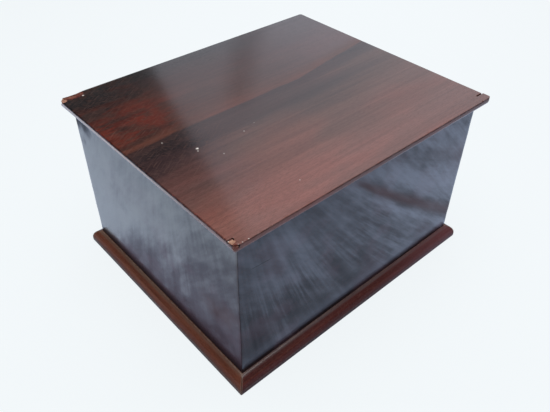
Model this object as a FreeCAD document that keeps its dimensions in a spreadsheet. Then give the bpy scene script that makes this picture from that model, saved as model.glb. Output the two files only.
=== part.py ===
import FreeCAD, Part

import os
import re

import Sketcher

# A polished mahogany cover box for a hand sewing machine: four mitred side boards on a bottom
# board, an ovolo base moulding mitred round the foot, and a thin overhanging lid of one wide
# board between two rounded lippings, kept flat by two battens and hung on two brass butt hinges.
#
# Frame: millimetres, +Z up, the origin at the middle of the underside. X runs along the length
# of the box, the front is towards -Y and the hinges are at the back, +Y.

SIZES = {
    # carcase
    "case_length": 440,
    "case_width": 366,
    "rim_height": 258,
    "board_thickness": 12,
    "bottom_thickness": 9,
    "bottom_recess": 2,
    "corner_block_leg": 15,
    "corner_block_drop": 24,
    # base moulding
    "mould_height": 22,
    "mould_projection": 14,
    "mould_top_flat": 1.5,
    "mould_foot_height": 7,
    "mould_ovolo_radius": 17,
    "mould_foot_round": 1,
    # lid
    "lid_thickness": 10,
    "lid_overhang": 12.5,
    "lipping_lap": 1.5,
    "lipping_proud_end": 1.5,
    "nosing_top_round": 3,
    "nosing_bottom_round": 2.5,
    "lid_corner_round": 4,
    # battens under the lid
    "batten_width": 40,
    "batten_thickness": 12,
    "batten_inset": 30,
    "batten_end_gap": 6,
    "batten_chamfer": 3,
    # butt hinges
    "hinge_inset": 70,
    "hinge_length": 40,
    "leaf_thickness": 1.5,
    "leaf_set_in": 0.1,
    "leaf_shoulder": 2,
    "knuckle_radius": 3,
    "knuckle_back_gap": 0.2,
    "knuckle_gap": 0.2,
    "pin_radius": 1.2,
    "pin_clearance": 0.05,
    "mortise_clearance": 0.1,
    "knuckle_clearance": 0.3,
    # screws
    "screw_head_radius": 2.4,
    "screw_shank_radius": 1.2,
    "screw_clearance": 0.05,
    "screw_pitch": 24,
    "case_screw_length": 12,
    "lid_screw_length": 7,
}

KNUCKLES = 5                # an odd number, so that the case leaf holds both ends of the pin
LEAF_SCREWS = 2             # in each hinge leaf
SIDES = {"left": -1, "right": 1}

# Sizes that several pieces share, each worked out from the driving ones.
FLOOR_HEIGHT = "(bottom_recess + bottom_thickness)"
LID_LENGTH = "(case_length + 2 * lid_overhang)"
LIPPING_WIDTH = "(lid_overhang + lipping_lap)"
LIPPING_JOINT = "(case_width / 2 - lipping_lap)"
HINGE_CENTRE = "(case_length / 2 - hinge_inset)"
STANDOFF = "(knuckle_radius + knuckle_back_gap)"
HINGE_AXIS = f"(case_width / 2 + {STANDOFF})"
LEAF_REACH = "(board_thickness - leaf_shoulder)"
LEAF_MORTISE_DEPTH = "(leaf_thickness + leaf_set_in)"
MORTISE_HALF = "(hinge_length / 2 + mortise_clearance)"
SCREW_INSET = f"({LEAF_REACH} / 2)"
PILOT_RADIUS = "(screw_shank_radius + screw_clearance)"
PILOT_SPARE = "(leaf_set_in + screw_clearance)"

doc = FreeCAD.newDocument("CoverBox")
sheet = doc.addObject("Spreadsheet::Sheet", "Sizes")
for row, (size_name, size) in enumerate(SIZES.items(), start=1):
    sheet.set(f"A{row}", size_name)
    sheet.set(f"B{row}", str(size))
    sheet.setAlias(f"B{row}", size_name)
doc.recompute()


# Binding to the sheet ------------------------------------------------------------------------

def bound(text):
    """Write the sheet's name before each size in an expression."""
    return re.sub(r"[a-z_]+", lambda word: "Sizes." + word[0] if word[0] in SIZES else word[0], str(text))


def value(text):
    """Work out an expression in the sheet's sizes as a number."""
    return float(sheet.evalExpression(bound(text)))


def bind(thing, **properties):
    """Bind properties of an object to expressions in the sheet's sizes."""
    for name, text in properties.items():
        thing.setExpression(name.replace("__", "."), bound(text))


# Bodies and sketches -------------------------------------------------------------------------

pieces = []


def new_body(label, x="0", y="0", z="0", turn=0):
    """Start a piece, placed at x, y, z and turned about the vertical by turn degrees."""
    body = doc.addObject("PartDesign::Body", label)
    body.Label = label
    body.Placement = FreeCAD.Placement(FreeCAD.Vector(), FreeCAD.Rotation(FreeCAD.Vector(0, 0, 1), turn))
    bind(body, Placement__Base__x=x, Placement__Base__y=y, Placement__Base__z=z)
    pieces.append(body)
    return body


def origin_feature(body, role):
    """Find one of a body's own origin planes or axes."""
    return next(feature for feature in body.Origin.OriginFeatures if feature.Role == role)


def new_sketch(body, plane="XY_Plane", offset="0"):
    """Start a sketch on one of a body's origin planes, offset along the plane's normal."""
    sketch = body.newObject("Sketcher::SketchObject", "Outline")
    sketch.AttachmentSupport = [(origin_feature(body, plane), "")]
    sketch.MapMode = "FlatFace"
    bind(sketch, AttachmentOffset__Base__z=offset)
    return sketch


def pin_point(sketch, geometry, point, x, y):
    """Hold a point of a sketch at x, y from the sketch's origin."""
    for kind, text in (("DistanceX", x), ("DistanceY", y)):
        if value(text) == 0:
            axis = -2 if kind == "DistanceX" else -1
            sketch.addConstraint(Sketcher.Constraint("PointOnObject", geometry, point, axis))
            continue
        constraint = Sketcher.Constraint(kind, -1, 1, geometry, point, value(text))
        sketch.setExpression(f"Constraints[{sketch.addConstraint(constraint)}]", bound(text))


def draw_outline(sketch, corners, arcs=None):
    """Draw a closed outline, anticlockwise; arcs maps a side's number to the radius it bulges to."""
    arcs = arcs or {}
    points = [FreeCAD.Vector(value(x), value(y), 0) for x, y in corners]
    ends = []
    for side, start in enumerate(points):
        stop = points[(side + 1) % len(points)]
        if side in arcs:
            half = (stop - start) * 0.5
            radius = value(arcs[side])
            rise = radius - (radius ** 2 - half.Length ** 2) ** 0.5
            outward = FreeCAD.Vector(half.y, -half.x, 0).normalize()
            curve = Part.Arc(start, start + half + outward * rise, stop)
            line = sketch.addGeometry(curve, False)
            forward = curve.StartPoint.distanceToPoint(start) < curve.EndPoint.distanceToPoint(start)
            ends.append((line, 1, 2) if forward else (line, 2, 1))
            limit = sketch.addConstraint(Sketcher.Constraint("Radius", line, radius))
            sketch.setExpression(f"Constraints[{limit}]", bound(arcs[side]))
        else:
            ends.append((sketch.addGeometry(Part.LineSegment(start, stop), False), 1, 2))
    for side, (line, first, last) in enumerate(ends):
        following, its_first, _ = ends[(side + 1) % len(ends)]
        sketch.addConstraint(Sketcher.Constraint("Coincident", line, last, following, its_first))
        pin_point(sketch, line, first, *corners[side])


def draw_rectangle(sketch, left, right, low, high):
    """Draw an upright rectangle between two x and two y values."""
    draw_outline(sketch, [(left, low), (right, low), (right, high), (left, high)])


def draw_circle(sketch, x, y, radius):
    """Draw a circle round x, y."""
    centre = FreeCAD.Vector(value(x), value(y), 0)
    circle = sketch.addGeometry(Part.Circle(centre, FreeCAD.Vector(0, 0, 1), value(radius)), False)
    pin_point(sketch, circle, 3, x, y)
    limit = sketch.addConstraint(Sketcher.Constraint("Radius", circle, value(radius)))
    sketch.setExpression(f"Constraints[{limit}]", bound(radius))


# Features ------------------------------------------------------------------------------------

def pad(body, sketch, length, symmetric=False, reverse=False):
    """Raise a sketch into a solid."""
    feature = body.newObject("PartDesign::Pad", "Pad")
    feature.Profile = sketch
    feature.SideType = "Symmetric" if symmetric else "One side"
    feature.Reversed = reverse
    bind(feature, Length=length)
    doc.recompute()
    return feature


def cut(body, sketch, depth, symmetric=False, reverse=False):
    """Pocket a sketch out of a body, against the sketch's normal unless reversed."""
    before = body.Shape.Volume
    feature = body.newObject("PartDesign::Pocket", "Pocket")
    feature.Profile = sketch
    feature.SideType = "Symmetric" if symmetric else "One side"
    feature.Reversed = reverse
    bind(feature, Length=depth)
    doc.recompute()
    if not body.Shape.Volume < before:
        raise ValueError(f"a pocket of {body.Label} cuts nothing")
    return feature


def screw_holes(body, sketch, reverse=False):
    """Bore countersunk clearance holes through a leaf, at the circles of a sketch."""
    before = body.Shape.Volume
    feature = body.newObject("PartDesign::Hole", "Hole")
    feature.Profile = sketch
    doc.recompute()
    feature.ThreadType = "None"
    feature.DepthType = "ThroughAll"
    feature.HoleCutType = "Countersink"
    feature.HoleCutCustomValues = True
    feature.HoleCutCountersinkAngle = 90
    feature.Reversed = reverse
    bind(feature, Diameter=f"2 * {PILOT_RADIUS}", HoleCutDiameter="2 * (screw_head_radius + screw_clearance)")
    doc.recompute()
    if not body.Shape.Volume < before:
        raise ValueError(f"the screw holes of {body.Label} cut nothing")
    return feature


def blend(body, kind, size, chosen):
    """Fillet or chamfer the edges whose middle satisfies chosen(x, y, z)."""
    base = body.Tip
    names = []
    for number, edge in enumerate(base.Shape.Edges, start=1):
        middle = edge.CenterOfMass
        if chosen(middle.x, middle.y, middle.z):
            names.append(f"Edge{number}")
    feature = body.newObject(f"PartDesign::{kind}", kind)
    feature.Base = (base, names)
    bind(feature, **{"Radius" if kind == "Fillet" else "Size": size})
    doc.recompute()
    return feature


def spread(body, axis, count, spacing):
    """Repeat all of a body so far along one of its own axes."""
    whole = body.Tip
    feature = body.newObject("PartDesign::LinearPattern", "Pattern")
    feature.Originals = [whole]
    feature.TransformMode = "Whole shape"
    feature.Direction = (origin_feature(body, axis), [""])
    feature.Mode = "Spacing"
    feature.Occurrences = count
    bind(feature, Offset=spacing)
    body.Tip = feature
    doc.recompute()
    return feature


def near(one, other):
    """Tell whether two lengths are the same."""
    return abs(one - other) < 1e-6


def leaf_screw_places():
    """List the x of a leaf's screws from the middle of its hinge."""
    return [f"{number - (LEAF_SCREWS - 1) / 2} * screw_pitch" for number in range(LEAF_SCREWS)]


def draw_pilots(sketch, y):
    """Draw the pilot holes of the screws of both hinges, in a row at y."""
    for side in SIDES.values():
        for place in leaf_screw_places():
            draw_circle(sketch, f"{side} * {HINGE_CENTRE} + {place}", y, PILOT_RADIUS)


# Carcase -------------------------------------------------------------------------------------

def side_board(label, length, turn, **place):
    """Make a side board: outer face on local y = 0, both ends mitred to meet its neighbours."""
    body = new_body(label, z=FLOOR_HEIGHT, turn=turn, **place)
    sketch = new_sketch(body)
    draw_outline(sketch, [
        (f"-{length} / 2", "0"),
        (f"{length} / 2", "0"),
        (f"{length} / 2 - board_thickness", "board_thickness"),
        (f"-{length} / 2 + board_thickness", "board_thickness"),
    ])
    pad(body, sketch, f"rim_height - {FLOOR_HEIGHT}")
    return body


def let_in_case_leaves(body):
    """Cut the back board's top edge for the hinge leaves and their screws."""
    mortises = new_sketch(body, offset=f"rim_height - {FLOOR_HEIGHT}")
    for side in SIDES.values():
        draw_rectangle(
            mortises,
            f"{side} * {HINGE_CENTRE} - {MORTISE_HALF}",
            f"{side} * {HINGE_CENTRE} + {MORTISE_HALF}",
            "0",
            f"{LEAF_REACH} + mortise_clearance",
        )
    cut(body, mortises, LEAF_MORTISE_DEPTH)
    pilots = new_sketch(body, offset=f"rim_height - {FLOOR_HEIGHT}")
    draw_pilots(pilots, SCREW_INSET)
    cut(body, pilots, f"case_screw_length + {PILOT_SPARE}")


def bottom_board():
    """Make the bottom board, under the side boards and flush with their outer faces."""
    body = new_body("bottom_board", z="bottom_recess")
    sketch = new_sketch(body)
    draw_rectangle(sketch, "-case_length / 2", "case_length / 2", "-case_width / 2", "case_width / 2")
    pad(body, sketch, "bottom_thickness")


def corner_block(label, turn, **place):
    """Make a three-sided glue block with its square corner at the local origin."""
    body = new_body(label, z=FLOOR_HEIGHT, turn=turn, **place)
    sketch = new_sketch(body)
    draw_outline(sketch, [("0", "0"), ("corner_block_leg", "0"), ("0", "corner_block_leg")])
    pad(body, sketch, f"rim_height - corner_block_drop - {FLOOR_HEIGHT}")


def base_moulding(label, length, turn, **place):
    """Make one run of the base moulding: back on local y = 0, ovolo outwards, ends mitred."""
    body = new_body(label, turn=turn, **place)
    profile = new_sketch(body, plane="YZ_Plane")
    corners = [
        ("0", "mould_height"),
        ("-mould_top_flat", "mould_height"),
        ("-mould_projection", "mould_foot_height"),
        ("-mould_projection", "0"),
        ("0", "0"),
    ]
    draw_outline(profile, corners, arcs={1: "mould_ovolo_radius"})
    pad(body, profile, f"{length} + 2 * mould_projection", symmetric=True)
    foot = -value("mould_projection")
    blend(body, "Fillet", "mould_foot_round", lambda x, y, z: near(y, foot) and near(z, 0))
    mitres = new_sketch(body)
    for side in SIDES.values():
        inner = f"{side} * {length} / 2"
        outer = f"{side} * ({length} / 2 + mould_projection)"
        draw_outline(mitres, [(inner, "0"), (outer, "-mould_projection"), (outer, "0")])
    cut(body, mitres, "mould_height", reverse=True)


# Lid -----------------------------------------------------------------------------------------

def let_in_lid_leaves(body, inner, outer, depth):
    """Cut the underside of a piece of the lid over both hinges, between two y values."""
    mortises = new_sketch(body)
    for side in SIDES.values():
        left = f"{side} * {HINGE_CENTRE} - {MORTISE_HALF}"
        right = f"{side} * {HINGE_CENTRE} + {MORTISE_HALF}"
        draw_rectangle(mortises, left, right, inner, outer)
    cut(body, mortises, depth, reverse=True)


def lid_panel():
    """Make the wide board of the lid, with its end edges rounded like the lippings."""
    body = new_body("lid_panel", z="rim_height")
    sketch = new_sketch(body)
    draw_rectangle(sketch, f"-{LID_LENGTH} / 2", f"{LID_LENGTH} / 2", f"-{LIPPING_JOINT}", LIPPING_JOINT)
    pad(body, sketch, "lid_thickness")
    end = value(f"{LID_LENGTH} / 2")
    top = value("lid_thickness")
    blend(body, "Fillet", "nosing_top_round", lambda x, y, z: near(abs(x), end) and near(z, top))
    blend(body, "Fillet", "nosing_bottom_round", lambda x, y, z: near(abs(x), end) and near(z, 0))
    leaf_end = f"case_width / 2 - {LEAF_REACH} - mortise_clearance"
    let_in_lid_leaves(body, leaf_end, LIPPING_JOINT, LEAF_MORTISE_DEPTH)
    pilots = new_sketch(body)
    draw_pilots(pilots, f"case_width / 2 - {SCREW_INSET}")
    cut(body, pilots, f"lid_screw_length + {PILOT_SPARE}", reverse=True)


def lid_lipping(label, turn, left_end, right_end):
    """Make an edge strip: joint on local y = 0, the rounded nosing outwards at -y."""
    body = new_body(label, y=f"-{LIPPING_JOINT}" if turn == 0 else LIPPING_JOINT, z="rim_height", turn=turn)
    sketch = new_sketch(body)
    draw_rectangle(sketch, f"-{left_end}", right_end, f"-{LIPPING_WIDTH}", "0")
    pad(body, sketch, "lid_thickness")
    nose = -value(LIPPING_WIDTH)
    top = value("lid_thickness")
    middle = top / 2
    blend(body, "Fillet", "lid_corner_round", lambda x, y, z: near(y, nose) and near(z, middle))
    blend(body, "Fillet", "nosing_top_round", lambda x, y, z: near(z, top) and not near(y, 0))
    blend(body, "Fillet", "nosing_bottom_round", lambda x, y, z: near(z, 0) and not near(y, 0))
    return body


def batten(label, side):
    """Make a cross batten: top against the lid, inside the case, its lower edges chamfered."""
    centre = "case_length / 2 - board_thickness - batten_inset - batten_width / 2"
    body = new_body(label, x=f"{side} * ({centre})", z="rim_height")
    sketch = new_sketch(body)
    reach = "case_width / 2 - board_thickness - batten_end_gap"
    draw_rectangle(sketch, "-batten_width / 2", "batten_width / 2", f"-({reach})", reach)
    pad(body, sketch, "batten_thickness", reverse=True)
    low = -value("batten_thickness")
    blend(body, "Chamfer", "batten_chamfer", lambda x, y, z: near(z, low))


# Hinges --------------------------------------------------------------------------------------

def hinge_leaf(label, side, upper):
    """Make a hinge leaf with its own knuckles, the pin's axis along local X through the origin.

    The knuckles alternate: the case leaf has the first, third and fifth, the lid leaf the others.
    """
    body = new_body(label, x=f"{side} * {HINGE_CENTRE}", y=HINGE_AXIS, z="rim_height")
    plate = new_sketch(body, offset="leaf_set_in" if upper else "-leaf_set_in")
    draw_rectangle(plate, "-hinge_length / 2", "hinge_length / 2", f"-{STANDOFF} - {LEAF_REACH}", "0")
    pad(body, plate, "leaf_thickness", reverse=not upper)
    barrel = new_sketch(body, plane="YZ_Plane")
    draw_circle(barrel, "0", "0", "knuckle_radius")
    pad(body, barrel, "hinge_length", symmetric=True)
    gaps = new_sketch(body)
    for number in range(KNUCKLES):
        mine = (number % 2 == 1) == upper
        if mine:
            continue
        start = f"hinge_length * {number} / {KNUCKLES} - hinge_length / 2"
        stop = f"hinge_length * {number + 1} / {KNUCKLES} - hinge_length / 2"
        draw_rectangle(
            gaps,
            f"{start} - knuckle_gap / 2",
            f"{stop} + knuckle_gap / 2",
            "-knuckle_radius - knuckle_clearance",
            "knuckle_radius + knuckle_clearance",
        )
    cut(body, gaps, "4 * knuckle_radius", symmetric=True)
    bore = new_sketch(body, plane="YZ_Plane")
    draw_circle(bore, "0", "0", "pin_radius + pin_clearance")
    cut(body, bore, "2 * hinge_length", symmetric=True)
    holes = new_sketch(body, offset="leaf_set_in" if upper else "-leaf_set_in")
    for place in leaf_screw_places():
        draw_circle(holes, place, f"-{STANDOFF} - {SCREW_INSET}", "screw_shank_radius")
    screw_holes(body, holes, reverse=upper)


def hinge_pin(label, side):
    """Make a hinge pin, filed off flush with the hinge's ends."""
    body = new_body(label, x=f"{side} * {HINGE_CENTRE}", y=HINGE_AXIS, z="rim_height")
    sketch = new_sketch(body, plane="YZ_Plane")
    draw_circle(sketch, "0", "0", "pin_radius")
    pad(body, sketch, "hinge_length", symmetric=True)


def hinge_screws(label, length, upward):
    """Make the countersunk screws of the case leaves or of the lid leaves, as one group."""
    body = new_body(
        label,
        x=f"-{HINGE_CENTRE} + {leaf_screw_places()[0]}",
        y=f"case_width / 2 - {SCREW_INSET}",
        z="rim_height + leaf_set_in" if upward else "rim_height - leaf_set_in",
    )
    way = "" if upward else "-"
    profile = new_sketch(body, plane="XZ_Plane")
    draw_outline(profile, [
        ("0", "0"),
        ("screw_head_radius", "0"),
        ("screw_shank_radius", f"{way}(screw_head_radius - screw_shank_radius)"),
        ("screw_shank_radius", f"{way}{length}"),
        ("0", f"{way}{length}"),
    ])
    turned = body.newObject("PartDesign::Revolution", "Turned")
    turned.Profile = profile
    turned.ReferenceAxis = (profile, ["V_Axis"])
    turned.Angle = 360
    doc.recompute()
    spread(body, "X_Axis", LEAF_SCREWS, "screw_pitch")
    spread(body, "X_Axis", len(SIDES), f"2 * {HINGE_CENTRE}")


# Assembly ------------------------------------------------------------------------------------

HALF_LENGTH = "case_length / 2"
HALF_WIDTH = "case_width / 2"
INNER_HALF_LENGTH = "(case_length / 2 - board_thickness)"
INNER_HALF_WIDTH = "(case_width / 2 - board_thickness)"

side_board("front_board", "case_length", turn=0, y=f"-{HALF_WIDTH}")
back_board = side_board("back_board", "case_length", turn=180, y=HALF_WIDTH)
let_in_case_leaves(back_board)
side_board("left_end", "case_width", turn=-90, x=f"-{HALF_LENGTH}")
side_board("right_end", "case_width", turn=90, x=HALF_LENGTH)
bottom_board()

corner_block("front_left_block", turn=0, x=f"-{INNER_HALF_LENGTH}", y=f"-{INNER_HALF_WIDTH}")
corner_block("front_right_block", turn=90, x=INNER_HALF_LENGTH, y=f"-{INNER_HALF_WIDTH}")
corner_block("back_right_block", turn=180, x=INNER_HALF_LENGTH, y=INNER_HALF_WIDTH)
corner_block("back_left_block", turn=270, x=f"-{INNER_HALF_LENGTH}", y=INNER_HALF_WIDTH)

base_moulding("base_moulding_front", "case_length", turn=0, y=f"-{HALF_WIDTH}")
base_moulding("base_moulding_back", "case_length", turn=180, y=HALF_WIDTH)
base_moulding("base_moulding_left", "case_width", turn=-90, x=f"-{HALF_LENGTH}")
base_moulding("base_moulding_right", "case_width", turn=90, x=HALF_LENGTH)

lid_panel()
lid_lipping("lid_front_lipping", 0, f"{LID_LENGTH} / 2", f"{LID_LENGTH} / 2 + lipping_proud_end")
back_lipping = lid_lipping("lid_back_lipping", 180, f"{LID_LENGTH} / 2", f"{LID_LENGTH} / 2")
knuckle_outside = f"lipping_lap + {STANDOFF} + knuckle_radius + knuckle_clearance"
let_in_lid_leaves(back_lipping, f"-({knuckle_outside})", "0", "knuckle_radius + knuckle_clearance")

for name, way in SIDES.items():
    batten(f"lid_{name}_batten", way)
    hinge_leaf(f"{name}_hinge_case_leaf", way, upper=False)
    hinge_leaf(f"{name}_hinge_lid_leaf", way, upper=True)
    hinge_pin(f"{name}_hinge_pin", way)

hinge_screws("hinge_case_screws", "case_screw_length", upward=False)
hinge_screws("hinge_lid_screws", "lid_screw_length", upward=True)

doc.recompute()
for thing in doc.Objects:
    if "Invalid" in thing.State or "Error" in thing.State:
        raise ValueError(f"{thing.Label} failed: {thing.State}")
for body in pieces:
    if body.Shape.isNull() or not body.Shape.isValid():
        raise ValueError(f"{body.Label} has no valid shape")

os.makedirs("parts", exist_ok=True)
for body in pieces:
    body.Shape.exportStep(f"parts/{body.Label}.step")
    print(f"{body.Label}: {len(body.Shape.Solids)} solid(s), {body.Shape.Volume / 1000:.1f} cm3")
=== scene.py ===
"""The looks of an old mahogany cover box: boards, mouldings, lid, hinges, screws and nails."""

import logging
import math
import random
from collections.abc import Sequence
from dataclasses import dataclass
from enum import Enum

import bmesh
import bpy
from mathutils import Matrix, Vector, noise


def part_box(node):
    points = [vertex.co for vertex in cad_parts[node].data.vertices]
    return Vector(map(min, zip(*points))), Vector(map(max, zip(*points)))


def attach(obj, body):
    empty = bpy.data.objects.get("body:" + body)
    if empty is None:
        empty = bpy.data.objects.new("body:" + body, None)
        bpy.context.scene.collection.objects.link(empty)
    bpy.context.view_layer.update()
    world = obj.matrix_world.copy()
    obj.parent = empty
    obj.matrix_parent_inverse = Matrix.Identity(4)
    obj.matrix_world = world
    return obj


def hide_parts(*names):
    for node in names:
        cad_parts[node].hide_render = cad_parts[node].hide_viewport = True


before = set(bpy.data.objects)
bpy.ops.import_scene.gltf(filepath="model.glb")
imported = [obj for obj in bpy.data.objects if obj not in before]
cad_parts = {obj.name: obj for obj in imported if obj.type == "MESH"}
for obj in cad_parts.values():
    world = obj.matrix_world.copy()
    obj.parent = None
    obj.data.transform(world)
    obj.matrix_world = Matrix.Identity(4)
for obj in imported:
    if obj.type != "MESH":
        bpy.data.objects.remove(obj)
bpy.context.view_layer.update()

log = logging.getLogger("cover_box")

MM = 0.001
SHARP = math.radians(34)
DOWN = Vector((0, 0, -1))
Colour = tuple[float, float, float]
Place = tuple[float, float, float]
Block = tuple[Vector, Vector]
Piece = bpy.types.Object
Finish = bpy.types.Material
WOOD_TONES = ("deep", "warm", "fair")
METAL_TONES = ("bright", "dull", "spot")


def mixed_paint(red: int, green: int, blue: int) -> Colour:
    """Turn a colour as seen on a screen, 0 to 255, into the linear colour that a shader takes."""
    shares = [level / 255 for level in (red, green, blue)]
    return tuple(share / 12.92 if share <= 0.04045 else ((share + 0.055) / 1.055) ** 2.4 for share in shares)


def between(low: float, high: float, share: float) -> float:
    """Go from low to high by a share of the way."""
    return low + (high - low) * share


def limited(number: float) -> float:
    """Keep a number between nothing and one."""
    return min(1.0, max(0.0, number))


def drawn_in(from_end: float, reach: float, radius: float) -> float:
    """Work out how far a rounded end draws a face in, at a distance from that end."""
    into = limited(1 - from_end / reach)
    return radius * (1 - math.sqrt(max(0.0, 1 - into ** 2)))


def metres(x: float, y: float, z: float) -> Place:
    """Turn three lengths in millimetres into metres."""
    return x * MM, y * MM, z * MM


def waver(x: float, y: float, z: float) -> float:
    """Read smooth noise, which goes up to about one to either side of nothing."""
    return noise.noise(Vector((x, y, z)))


def added(name: str, data: bpy.types.ID) -> Piece:
    """Add an object to the scene.

    Args:
        name: its name.
        data: its mesh, lamp or camera.

    Returns:
        The object.
    """
    made = bpy.data.objects.new(name, data)
    bpy.context.scene.collection.objects.link(made)
    return made


def sheet(name: str, corners: Sequence[Vector | Place]) -> Piece:
    """Add a flat sheet with four corners.

    Args:
        name: its name.
        corners: its corners, in order round it.

    Returns:
        The sheet.
    """
    mesh = bpy.data.meshes.new(name)
    mesh.from_pydata(corners, [], [(0, 1, 2, 3)])
    return added(name, mesh)


# Shader arithmetic ---------------------------------------------------------------------------

class Wire:
    """An output socket that ordinary arithmetic works on."""

    def __init__(self, bench: "Bench", socket: bpy.types.NodeSocket) -> None:
        """Remember the socket and the bench that its nodes are made on."""
        self.bench = bench
        self.socket = socket

    def _sum(self, operation: str, *terms: "Wire | float") -> "Wire":
        """Add one Math node for the terms."""
        return self.bench.node("ShaderNodeMath", {"operation": operation}, dict(enumerate(terms)))

    def __add__(self, other: "Wire | float") -> "Wire":
        """Add."""
        return self._sum("ADD", self, other)

    __radd__ = __add__

    def __sub__(self, other: "Wire | float") -> "Wire":
        """Take other away."""
        return self._sum("SUBTRACT", self, other)

    def __rsub__(self, other: float) -> "Wire":
        """Take this away from other."""
        return self._sum("SUBTRACT", other, self)

    def __mul__(self, other: "Wire | float") -> "Wire":
        """Multiply."""
        return self._sum("MULTIPLY", self, other)

    __rmul__ = __mul__

    def __truediv__(self, other: "Wire | float") -> "Wire":
        """Divide by other."""
        return self._sum("DIVIDE", self, other)

    def __abs__(self) -> "Wire":
        """Drop the sign."""
        return self._sum("ABSOLUTE", self)

    def clamped(self) -> "Wire":
        """Keep the value between nothing and one.

        Returns:
            The kept value.
        """
        made = self._sum("ADD", self, 0.0)
        made.socket.node.use_clamp = True
        return made

    def at_least(self, other: "Wire | float") -> "Wire":
        """Take the larger of the two."""
        return self._sum("MAXIMUM", self, other)

    def distance(self, other: "Wire") -> "Wire":
        """Take the length of a line that goes this far one way and other far square to it."""
        return self._sum("SQRT", self * self + other * other)

    def angle_from(self, other: "Wire") -> "Wire":
        """Take the angle, in degrees, that this side makes with the other one."""
        return self._sum("ARCTAN2", self, other) * math.degrees(1)

    def stepped(self, start: float, stop: float) -> "Wire":
        """Rise smoothly from nothing at start to one at stop, or fall where stop is the lower.

        Args:
            start: where the step starts.
            stop: where it is done.

        Returns:
            The step.
        """
        settings = {"interpolation_type": "SMOOTHSTEP"}
        if start <= stop:
            ends = {"From Min": start, "From Max": stop, "To Min": 0.0, "To Max": 1.0}
        else:
            ends = {"From Min": stop, "From Max": start, "To Min": 1.0, "To Max": 0.0}
        return self.bench.node("ShaderNodeMapRange", settings, {"Value": self, **ends}, "Result")

    def band(self, start: float, full: float, ease: float, stop: float) -> "Wire":
        """Rise smoothly from start to full, and fall again from ease to stop."""
        return self.stepped(start, full) * self.stepped(stop, ease)


class Grain(Enum):
    """The way that the grain of a piece runs, as the turn that brings it to local X."""

    ALONG_X = (0.0, 0.0, 0.0)
    ALONG_Y = (0.0, 0.0, -math.pi / 2)
    ALONG_Z = (0.0, math.pi / 2, 0.0)


class Bench:
    """A node tree being put together, with a material or a node group to show for it."""

    def __init__(self, tree: bpy.types.NodeTree) -> None:
        """Start on an empty tree."""
        self.tree = tree
        tree.nodes.clear()

    @staticmethod
    def _find(sockets: bpy.types.bpy_prop_collection, key: str | int) -> bpy.types.NodeSocket:
        """Find a socket by number, by identifier or by name.

        Args:
            sockets: a node's inputs or its outputs.
            key: what to look for.

        Returns:
            The socket.
        """
        if isinstance(key, int):
            return sockets[key]
        for socket in sockets:
            if socket.identifier == key:
                return socket
        return sockets[key]

    def node(
        self,
        kind: str,
        settings: dict[str, object] | None = None,
        inputs: dict[str | int, object] | None = None,
        output: str | int = 0,
    ) -> Wire | None:
        """Add a node.

        Args:
            kind: the node's type.
            settings: its own properties, set before its sockets; "stops" fills a colour ramp.
            inputs: a value or a wire for each of its input sockets.
            output: the output that is wanted.

        Returns:
            The wanted output, or None for a node that has none.
        """
        made = self.tree.nodes.new(kind)
        for name, setting in (settings or {}).items():
            if name == "stops":
                self._fill_ramp(made.color_ramp, setting)
            else:
                setattr(made, name, setting)
        for key, given in (inputs or {}).items():
            socket = self._find(made.inputs, key)
            for one in given if isinstance(given, list) else [given]:
                if isinstance(one, Wire):
                    self.tree.links.new(one.socket, socket)
                else:
                    is_colour = socket.type == "RGBA" and len(one) == 3
                    socket.default_value = (*one, 1.0) if is_colour else one
        return Wire(self, self._find(made.outputs, output)) if len(made.outputs) else None

    def vector(self, x: Wire | float = 0.0, y: Wire | float = 0.0, z: Wire | float = 0.0) -> Wire:
        """Put three numbers together."""
        return self.node("ShaderNodeCombineXYZ", inputs={"X": x, "Y": y, "Z": z})

    def mixed_shader(self, factor: Wire | float, first: Wire, second: Wire) -> Wire:
        """Go from the first shader to the second."""
        return self.node("ShaderNodeMixShader", inputs={0: factor, 1: first, 2: second})

    def seen_by(self, *rays: str) -> Wire:
        """Tell whether a ray is one of the kinds named."""
        kinds = [self.node("ShaderNodeLightPath", output=ray) for ray in rays]
        return sum(kinds[1:], kinds[0]).clamped()

    @staticmethod
    def _fill_ramp(ramp: bpy.types.ColorRamp, stops: Sequence[tuple[float, Colour]]) -> None:
        """Set a ramp's stops, each a position and a colour.

        Args:
            ramp: the ramp.
            stops: the position and the colour of each stop.
        """
        while len(ramp.elements) < len(stops):
            ramp.elements.new(1.0)
        for element, (position, colour) in zip(ramp.elements, stops):
            element.position = position
            element.color = (*colour, 1.0)


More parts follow.
